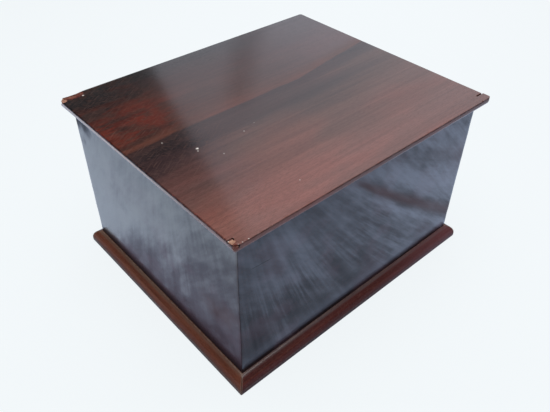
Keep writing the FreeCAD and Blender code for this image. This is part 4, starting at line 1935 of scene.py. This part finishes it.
@dataclass
class Lid:
    """The wide board, its two rounded lippings and the battens under it."""

    rack: Rack
    top_round: float = 0.4 * MM
    bevel_round: float = 0.6 * MM
    bevel: tuple[float, float] = (0.2 * MM, 0.4 * MM)
    bottom_round: float = 1.2 * MM
    side_round: float = 6 * MM
    corner_round: float = 4 * MM
    turned_under: tuple[tuple[float, float], ...] = ((1.3 * MM, 0.0), (0.3 * MM, 2.4 * MM), (0.0, 4.2 * MM))
    hinge: HingeFit = HingeFit()
    leaf_end: float = 172.9 * MM
    knuckle_half_height: float = 3.3 * MM
    knuckle_outside: float = 189.5 * MM
    worn: float = 0.25 * MM
    warp: float = 0.16 * MM
    joint_fall: float = 0.03 * MM
    joint_ease: float = 0.5 * MM
    joint_gap: float = 0.02 * MM
    split_floor: float = 5 * MM
    arris_share: float = 0.45
    marked_from: float = 5 * MM

    def rise_under(self, from_end: float) -> float:
        """Tell how high the turned-under edge stands over the underside, at a distance from its outer end.

        Args:
            from_end: the distance.

        Returns:
            The height.
        """
        (foot, _), (middle, middle_up), (_, straight_up) = self.turned_under
        if from_end < middle:
            return between(straight_up, middle_up, from_end / middle)
        return between(middle_up, 0.0, limited((from_end - middle) / (foot - middle)))

    def fall_over(self, from_end: float) -> float:
        """Tell how far the bevelled edge drops below the top, at a distance from its outer end."""
        inset, drop = self.bevel
        return drop * limited(1 - from_end / inset)

    def panel_chips(self) -> list[Hurt]:
        """List the small chips along the panel's left edge.

        Returns:
            The chips.
        """
        low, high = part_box("lid_panel")
        luck = random.Random(11)
        hurts: list[Hurt] = []
        for number in range(20):
            y = between(low.y, high.y - 90 * MM, luck.random() ** 1.3)
            size = between(0.5, 1.3, luck.random() ** 2) * MM
            push = Vector((0.4, 0.0, -0.35)) * size
            bare = 0.5 if luck.random() > 0.7 else 0.1
            centre = (low.x + 0.6 * MM, y, high.z - 0.6 * MM)
            hurts.append(Chip(centre, (1.4 * size, 1.9 * size, 1.3 * size), tuple(push), bare, number * 1.3))
        return hurts

    def opened(self, line: Sequence[tuple[float, float]], low: float, wide: float, deep: float) -> Crack:
        """Open a crack in the upper half of the lid, its width and depth in millimetres."""
        return Crack(line, wide * MM, deep * MM, low + self.split_floor)

    def panel_dots(self, low: Vector, high: Vector, fall: float, worn: float) -> list[Dot]:
        """Draw the panel's section.

        Args:
            low: the panel's lowest corner.
            high: its highest corner.
            fall: how far the top drops beside the joint.
            worn: how much is worn off the bevels.

        Returns:
            The section's points, across and up.
        """
        inset, drop = self.bevel[0] + worn, self.bevel[1] + worn
        right = [(high.x - aside, low.z + up) for aside, up in self.turned_under]
        left = [(low.x + aside, low.z + up) for aside, up in reversed(self.turned_under)]
        over = [(high.x, high.z - drop), (high.x - inset, high.z - fall), (low.x + inset, high.z - fall)]
        corners = [left[2], *right, *over, (low.x, high.z - drop), *left[:2]]
        side = [self.side_round, self.side_round, self.bevel_round, self.top_round]
        rounds = [self.bottom_round, self.bottom_round, *side, *reversed(side)]
        return section(corners, rounds, [90, 2, 2, 2, 2, 120, 2, 2, 2, 2])

    def build_panel(self) -> None:
        """Build the wide board, swept from front to back."""
        low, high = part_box("lid_panel")
        skin = Skin("lid_panel_timber")
        for y in stations(low.y + self.joint_gap, high.y - self.joint_gap, 2.5 * MM, 2 * MM):
            fall = self.joint_fall * limited(1 - min(y - low.y, high.y - y) / self.joint_ease)
            dots = self.panel_dots(low, high, fall, self.worn * max(0.0, waver(y * 34, 4.4, 0.0)))
            places = []
            for dot in dots:
                on_top = dot.up > high.z - 0.5 * MM
                drop = max(0.0, self.warp * waver(dot.across * 7, y * 12, 1.9)) if on_top else 0.0
                places.append(Vector((dot.across, y, dot.up - drop)))
            skin.ring(places, [dot.arris * self.arris_share for dot in dots])
        joint = [(high.x, low.y + 0.2 * MM), (high.x - 12 * MM, low.y + 0.4 * MM)]
        piece = skin.close([*self.panel_chips(), self.opened(joint, low.z, 0.8, 2.4)])
        over, deep = self.hinge.overrun, self.hinge.depth
        carved(piece, self.hinge.blocks((self.leaf_end, high.y + over), (low.z - over, low.z + deep)))
        paint_faces(piece, self.rack.lid, self.rack.inside_long, DOWN)
        settled(piece, "lid", "lid_mahogany", "lid_panel")

    def lipping_section(self, reach: float, ends: tuple[float, float], x: float, thick: float) -> list[Dot]:
        """Draw a lipping's section at one station.

        Args:
            reach: how far the nosing stands out from the joint.
            ends: where the strip starts and stops along its run.
            x: the station.
            thick: how thick the strip is.

        Returns:
            The section's points, the joint on zero and the nosing at minus reach.
        """
        from_end = min(x - ends[0], ends[1] - x)
        outer = -reach + drawn_in(from_end, self.corner_round, self.corner_round)
        top, bottom = thick - self.fall_over(from_end), self.rise_under(from_end)
        share = (top - bottom) / thick
        under = [(outer + inset * share, bottom + height * share) for inset, height in self.turned_under]
        over = [(outer + self.bevel[0] * share, top), (outer, top - self.bevel[1] * share)]
        joint = [(-self.joint_gap, bottom), (-self.joint_gap, top)]
        corners = [under[0], *joint, *over, under[2], under[1]]
        rounds = [self.bottom_round, 0.03 * MM, 0.03 * MM, self.top_round, self.bevel_round]
        rounds = [radius * share for radius in rounds + [self.side_round, self.side_round]]
        return section(corners, rounds, [18, 6, 28, 2, 2, 2, 2])

    def build_lipping(self, node: str, turn: float, hurts: Sequence[Hurt]) -> Piece:
        """Build one edge strip.

        Args:
            node: the CAD node that it stands for.
            turn: how far the strip is turned about the vertical, in degrees.
            hurts: its damage.

        Returns:
            The strip.
        """
        low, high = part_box(node)
        place = Matrix.Rotation(math.radians(turn), 4, "Z")
        ends = (low.x, high.x) if turn == 0 else (-high.x, -low.x)
        joint = high.y if turn == 0 else -low.y
        skin = Skin(f"{node}_strip")
        run = stations(ends[0], ends[1], 3 * MM, 42 * MM, 0.5 * MM)
        close = [0.12 * MM, 0.25 * MM, 0.37 * MM, 0.75 * MM, 1.25 * MM]
        run = sorted(run + [ends[0] + near for near in close] + [ends[1] - near for near in close])
        for x in run:
            dots = self.lipping_section(high.y - low.y, ends, x, high.z - low.z)
            places = []
            for dot in dots:
                worn = self.worn * dot.arris * max(0.0, waver(x * 40, turn, dot.up * 80))
                inward = limited((-dot.across - 4 * MM) / (8 * MM))
                places.append(Vector((x, joint + dot.across + worn * inward, low.z + dot.up)))
            marks = [dot.arris * self.arris_share * limited(-dot.across / self.marked_from) for dot in dots]
            skin.ring(places, marks)
        return skin.close(hurts, place)

    def front_hurts(self) -> list[Hurt]:
        """List the damage of the front strip: a split and a broken corner, and an open joint.

        Returns:
            The damage.
        """
        low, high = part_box("lid_front_lipping")

        def at(x: float, y: float) -> tuple[float, float]:
            """Find a place by its distances, in millimetres, from the near left corner."""
            return low.x + x * MM, low.y + y * MM

        joint = [(high.x, high.y), (high.x - 14 * MM, high.y - 0.3 * MM)]
        hurts: list[Hurt] = [
            self.opened([at(-1, 12.2), at(7.4, 12.3), at(6.6, 9.4)], low.z, 0.75, 2.2),
            self.opened([at(0.3, 4.0), at(2.4, 1.2), at(7, 0)], low.z, 0.55, 0.8),
            self.opened(joint, low.z, 0.8, 2.4),
            Chip((*at(3.0, 7.6), high.z), metres(4.6, 4.2, 3), metres(0.2, 0.1, -0.4), 0.9, 2.0),
            Chip((*at(1, 1), high.z - 1 * MM), metres(6, 6.4, 5), metres(0.9, 0.9, -0.9), 0.62, 5.0),
        ]
        luck = random.Random(5)
        for number in range(16):
            x = between(low.x + 14 * MM, high.x - 8 * MM, luck.random() ** 1.6)
            size = between(0.4, 1.0, luck.random()) * MM
            centre = (x, low.y + 0.7 * MM, high.z - 0.7 * MM)
            push = (0.0, 0.35 * size, -0.35 * size)
            hurts.append(Chip(centre, (2.4 * size, 1.3 * size, 1.3 * size), push, 0.15, number * 2.1))
        return hurts

    def back_hurts(self) -> list[Hurt]:
        """List the damage of the back strip: a splintered left end and a split beside it.

        Returns:
            The damage.
        """
        low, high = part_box("lid_back_lipping")

        def at(x: float, y: float) -> tuple[float, float]:
            """Find a place by its distances, in millimetres, from the far left corner."""
            return low.x + x * MM, high.y - y * MM

        return [
            self.opened([at(3, 3), at(9, 6.5), at(17, 13.6)], low.z, 0.7, 2.0),
            Chip((*at(1, 7), high.z), metres(7, 9, 4), metres(0.8, -0.3, -0.7), 1.0, 4.0),
            Chip((*at(0, 0), high.z - 2 * MM), metres(6.5, 6.5, 9), metres(3.0, -2.4, -0.6), 1.0, 8.0),
            Chip((*at(20, 4), high.z - 0.5 * MM), metres(17, 10, 4), metres(0.0, -0.9, -0.9), 0.52, 6.0),
        ]

    def build_lippings(self) -> None:
        """Build the two strips, the back one cut away over the hinge knuckles."""
        strips = {"lid_front_lipping": (0, self.front_hurts()), "lid_back_lipping": (180, self.back_hurts())}
        for node, (turn, hurts) in strips.items():
            piece = self.build_lipping(node, turn, hurts)
            if turn:
                low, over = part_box(node)[0], self.hinge.overrun
                up = (low.z - over, low.z + self.knuckle_half_height)
                carved(piece, self.hinge.blocks((low.y - over, self.knuckle_outside), up))
            paint_faces(piece, self.rack.lid, self.rack.inside_long, DOWN)
            settled(piece, "lid", "lid_mahogany", node)

    def build(self) -> None:
        """Build the lid."""
        self.build_panel()
        self.build_lippings()
        for node in ("lid_left_batten", "lid_right_batten"):
            settled(Batten(node).build(self.rack.pine_short), "lid", "inner_pine", node)


# Hinges, screws and nails --------------------------------------------------------------------

@dataclass
class Fixing:
    """Screws or nails of one kind, repeated over a set of places by a node tree."""

    name: str
    places: Sequence[Place]
    facing: Place
    finish: Finish
    head_radius: float
    head_height: float
    shank_radius: float
    length: float
    slot_width: float = 0.0
    slot_depth: float = 0.0
    dome: float = 0.0
    seed: int = 1

    def inputs(self) -> dict[str, float]:
        """List the tree's named sizes."""
        names = ("head_radius", "head_height", "shank_radius", "length", "slot_width", "slot_depth", "dome")
        return {name.replace("_", " ").title(): getattr(self, name) for name in names}

    def tree(self) -> bpy.types.NodeTree:
        """Build the tree: one fixing, its head up along Z, set on every place and turned by chance.

        Returns:
            The node tree.
        """
        tree = bpy.data.node_groups.new(f"{self.name}_tree", "GeometryNodeTree")
        bench = Bench(tree)
        tree.interface.new_socket("Geometry", in_out="OUTPUT", socket_type="NodeSocketGeometry")
        tree.interface.new_socket("Geometry", in_out="INPUT", socket_type="NodeSocketGeometry")
        for name in self.inputs():
            tree.interface.new_socket(name, in_out="INPUT", socket_type="NodeSocketFloat")
        tree.interface.new_socket("Seed", in_out="INPUT", socket_type="NodeSocketInt")
        tree.interface.new_socket("Finish", in_out="INPUT", socket_type="NodeSocketMaterial")
        points = bench.node("NodeGroupInput", output="Geometry")
        given = points.socket.node.outputs
        size = {name: Wire(bench, given[name]) for name in self.inputs()}

        head = bench.node("GeometryNodeMeshCone", inputs={
            "Vertices": 24, "Side Segments": 3, "Radius Top": size["Head Radius"],
            "Radius Bottom": size["Shank Radius"], "Depth": size["Head Height"],
        }, output="Mesh")
        shank = bench.node("GeometryNodeMeshCone", inputs={
            "Vertices": 16, "Radius Top": size["Shank Radius"] * 0.96,
            "Radius Bottom": size["Shank Radius"] * 0.5, "Depth": size["Length"],
        }, output="Mesh")
        parts = [self.lowered(bench, head, size["Head Height"]), self.lowered(bench, shank, size["Length"])]
        if self.dome:
            ball = bench.node("GeometryNodeMeshUVSphere", inputs={
                "Segments": 24, "Rings": 10, "Radius": size["Head Radius"] * 0.998}, output="Mesh")
            flat = bench.vector(1.0, 1.0, size["Dome"])
            parts.append(bench.node("GeometryNodeTransform", inputs={"Geometry": ball, "Scale": flat}))
        whole = self.joined(bench, "UNION", {"Mesh 2": parts})
        if self.slot_width:
            box = bench.vector(size["Head Radius"] * 2.4, size["Slot Width"], size["Slot Depth"] * 2)
            slot = bench.node("GeometryNodeMeshCube", inputs={"Size": box}, output="Mesh")
            whole = self.joined(bench, "DIFFERENCE", {"Mesh 1": whole, "Mesh 2": slot})

        chance = bench.node("FunctionNodeRandomValue", {"data_type": "FLOAT"}, {
            "Min_001": 0.0, "Max_001": math.pi, "Seed": Wire(bench, given["Seed"])}, "Value_001")
        aimed = bench.node("FunctionNodeAlignRotationToVector", {"axis": "Z"}, {"Vector": tuple(self.facing)})
        turned = bench.node("FunctionNodeEulerToRotation", inputs={0: bench.vector(z=chance)})
        both = bench.node("FunctionNodeRotateRotation", {"rotation_space": "LOCAL"},
                          {"Rotation": aimed, "Rotate By": turned})
        made = bench.node("GeometryNodeInstanceOnPoints", inputs={
            "Points": points, "Instance": whole, "Rotation": both})
        made = bench.node("GeometryNodeRealizeInstances", inputs={"Geometry": made})
        made = bench.node("GeometryNodeSetShadeSmooth", inputs={"Geometry": made, "Shade Smooth": False})
        made = bench.node("GeometryNodeSetMaterial", inputs={
            "Geometry": made, "Material": Wire(bench, given["Finish"])})
        bench.node("NodeGroupOutput", inputs={0: made})
        return tree

    @staticmethod
    def lowered(bench: Bench, shape: Wire, depth: Wire) -> Wire:
        """Move a shape down."""
        offset = bench.vector(z=depth * -1)
        return bench.node("GeometryNodeTransform", inputs={"Geometry": shape, "Translation": offset})

    @staticmethod
    def joined(bench: Bench, operation: str, meshes: dict[str, Wire | list[Wire]]) -> Wire:
        """Join shapes, or take one away from another."""
        settings = {"operation": operation, "solver": "MANIFOLD"}
        return bench.node("GeometryNodeMeshBoolean", settings, meshes, "Mesh")

    def build(self) -> Piece:
        """Set the fixings out and leave them as one plain mesh.

        Returns:
            The piece that holds them all.
        """
        cloud = bpy.data.meshes.new(self.name)
        cloud.from_pydata(list(self.places), [], [])
        piece = added(self.name, cloud)
        tree = self.tree()
        step = piece.modifiers.new("fixings", "NODES")
        step.node_group = tree
        keys = {item.name: item.identifier for item in tree.interface.items_tree if item.in_out == "INPUT"}
        for name, given in {**self.inputs(), "Seed": self.seed, "Finish": self.finish}.items():
            step[keys[name]] = given
        keep_evaluated(piece)
        paint_faces(piece, self.finish)
        return piece


@dataclass
class Ironmongery:
    """The brass hinges, their screws, the batten screws and the nails."""

    rack: Rack
    hinge: HingeFit = HingeFit()
    screw_pitch: float = 24 * MM
    screw_row: float = 178 * MM
    leaf_face: float = 0.1 * MM
    rim: float = 258 * MM
    batten_screws: int = 4
    batten_margin: float = 25 * MM
    nail_inset: float = 6 * MM
    long_nails: int = 6
    short_nails: int = 4

    def dress_hinges(self) -> None:
        """Give the leaves and the pins their brass."""
        for side in ("left", "right"):
            for part in ("case_leaf", "lid_leaf", "pin"):
                dressed_node(f"{side}_hinge_{part}", self.rack.brass)

    def set_hinge_screws(self, body: str, up: int, length: float) -> None:
        """Set the screws of the leaves on one body.

        Args:
            body: the body that they ride on.
            up: one if their heads look up, and minus one if they look down.
            length: the length of the screws.
        """
        z = self.rim - up * self.leaf_face
        places = [
            (side * self.hinge.centre + step * self.screw_pitch / 2, self.screw_row, z)
            for side in (-1, 1) for step in (-1, 1)
        ]
        screws = Fixing(
            f"hinge_{body}_screw_heads", places, (0, 0, up), self.rack.iron, head_radius=2.38 * MM,
            head_height=1.2 * MM, shank_radius=1.2 * MM, length=length, slot_width=0.7 * MM,
            slot_depth=0.6 * MM, seed=3,
        )
        settled(screws.build(), body, "screw_steel", f"hinge_{body}_screws")

    def set_batten_screws(self) -> None:
        """Set the slotted screws that hold the battens."""
        places = []
        for node in ("lid_left_batten", "lid_right_batten"):
            low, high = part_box(node)
            for number in range(self.batten_screws):
                share = number / (self.batten_screws - 1)
                y = between(low.y + self.batten_margin, high.y - self.batten_margin, share)
                places.append(((low.x + high.x) / 2, y, low.z - 0.1 * MM))
        screws = Fixing(
            "batten_screws", places, tuple(DOWN), self.rack.iron, head_radius=3.6 * MM, head_height=1.8 * MM,
            shank_radius=1.8 * MM, length=14 * MM, slot_width=0.9 * MM, slot_depth=0.9 * MM, seed=8,
        )
        settled(screws.build(), "lid", "screw_steel")

    def drive_bottom_nails(self) -> None:
        """Drive nails up through the bottom board, round its edge."""
        low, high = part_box("bottom_board")
        inset = self.nail_inset
        places = []
        for number in range(self.long_nails):
            x = between(low.x + 30 * MM, high.x - 30 * MM, number / (self.long_nails - 1))
            places += [(x, low.y + inset, low.z), (x, high.y - inset, low.z)]
        for number in range(self.short_nails):
            y = between(low.y + 40 * MM, high.y - 40 * MM, number / (self.short_nails - 1))
            places += [(low.x + inset, y, low.z), (high.x - inset, y, low.z)]
        nails = Fixing(
            "bottom_nails", places, tuple(DOWN), self.rack.iron, head_radius=2.4 * MM, head_height=0.5 * MM,
            shank_radius=1.0 * MM, length=20 * MM, dome=0.22, seed=4,
        )
        settled(nails.build(), "case", "screw_steel")

    def build(self) -> None:
        """Build all the metal."""
        self.dress_hinges()
        self.set_hinge_screws("case", 1, 12 * MM)
        self.set_hinge_screws("lid", -1, 7 * MM)
        self.set_batten_screws()
        self.drive_bottom_nails()


# Studio --------------------------------------------------------------------------------------

@dataclass(frozen=True)
class Softbox:
    """A rectangular lamp with its middle at centre, looking at aim."""

    name: str
    centre: Place
    aim: Place
    wide: float
    high: float
    level: float
    tint: Colour = (1.0, 1.0, 1.0)
    roll: float = 0.0

    def hang(self) -> None:
        """Put the lamp up."""
        lamp = bpy.data.lights.new(self.name, "AREA")
        lamp.shape = "RECTANGLE"
        lamp.size, lamp.size_y = self.wide, self.high
        lamp.energy = math.pi * self.wide * self.high * self.level
        lamp.color = self.tint
        holder = added(self.name, lamp)
        look = Vector(self.aim) - Vector(self.centre)
        turn = look.to_track_quat("-Z", "Y").to_matrix().to_4x4()
        holder.matrix_world = Matrix.Translation(self.centre) @ turn @ Matrix.Rotation(self.roll, 4, "Z")
        holder.visible_camera = False


@dataclass
class Studio:
    """The floor, the lamps, the surroundings and the camera."""

    azimuth: float = -42.185
    elevation: float = 40.213
    roll: float = 0.765
    station: Place = (-0.4882, -0.5381, 0.6836)
    focal_share: float = 585.7 / 550
    sensor: float = 36.0
    floor_size: float = 12.0
    surroundings: Colour = (0.84, 0.91, 1.0)
    surroundings_level: float = 0.12
    gauze_start: Place = (0.722, 1.032, 1.012)
    gauze_stop: Place = (0.875, 1.112, 0.700)
    gauze_width: float = 0.125

    def lay_floor(self) -> None:
        """Lay the floor."""
        reach = self.floor_size / 2
        signs = ((-1, -1), (1, -1), (1, 1), (-1, 1))
        floor = sheet("floor", [(across * reach, back * reach, 0.0) for across, back in signs])
        paint_faces(floor, PaleFloor().make())

    def light_surroundings(self) -> None:
        """Light the box softly from all round, and show white where the floor ends."""
        world = bpy.data.worlds.new("surroundings")
        bpy.context.scene.world = world
        world.use_nodes = True
        bench = Bench(world.node_tree)
        seen = bench.seen_by("Is Camera Ray")
        given = {"Color": self.surroundings, "Strength": self.surroundings_level}
        soft = bench.node("ShaderNodeBackground", inputs=given)
        white = bench.node("ShaderNodeBackground", inputs={"Color": (1.0, 1.0, 1.0), "Strength": 1.0})
        bench.node("ShaderNodeOutputWorld", inputs={"Surface": bench.mixed_shader(seen, soft, white)})

    def hang_lamps(self) -> None:
        """Hang the lamps."""
        lamps = [
            Softbox("window", (1.105, 0.818, 0.932), (0.522, 0.175, 0.435), 1.3, 1.3, 0.88,
                    tint=(0.86, 0.885, 1.0), roll=0.512),
            Softbox("ceiling", (-0.1, -0.1, 2.3), (0.0, 0.0, 0.0), 2.2, 2.2, 2.6, tint=(1.0, 0.99, 0.98)),
        ]
        for lamp in lamps:
            lamp.hang()

    def hang_gauze(self) -> None:
        """Hang three strips of gauze before the window, each narrower, for the polish to mirror softly."""
        start, stop = Vector(self.gauze_start), Vector(self.gauze_stop)
        across = (stop - start).cross(start).normalized() * self.gauze_width
        cloth = Gauze().make()
        for number, share in enumerate((1.0, 0.66, 0.33)):
            lift = start.normalized() * (0.004 * number)
            near, far = across * share * 0.5, across * share * 0.62
            corners = [start - near, start + near, stop + far, stop - far]
            strip = sheet("window_gauze", [corner + lift for corner in corners])
            paint_faces(strip, cloth)
            strip.visible_camera = False

    def place_camera(self) -> None:
        """Put the camera up."""
        azimuth, elevation = math.radians(self.azimuth), math.radians(self.elevation)
        level = math.cos(elevation)
        back = Vector((math.sin(azimuth) * level, -math.cos(azimuth) * level, math.sin(elevation)))
        right = Vector((0, 0, 1)).cross(back).normalized()
        turn = Matrix((right, back.cross(right), back)).transposed()
        turn = turn @ Matrix.Rotation(math.radians(self.roll), 3, "Z")
        camera = bpy.data.cameras.new("camera")
        camera.sensor_width = self.sensor
        camera.lens = self.focal_share * self.sensor
        camera.clip_start = 0.01
        holder = added("camera", camera)
        holder.matrix_world = Matrix.Translation(self.station) @ turn.to_4x4()
        bpy.context.scene.camera = holder

    def build(self) -> None:
        """Set the studio up."""
        bpy.context.scene.view_settings.view_transform = "Standard"
        self.lay_floor()
        self.light_surroundings()
        self.hang_lamps()
        self.hang_gauze()
        self.place_camera()


def main() -> None:
    """Build the box piece by piece, then the studio round it."""
    logging.basicConfig(level=logging.INFO, format="%(message)s")
    rack = Rack()
    Case(rack).build()
    BaseMoulding(rack).build()
    Lid(rack).build()
    Ironmongery(rack).build()
    Studio().build()


if __name__ == "__main__":
    main()
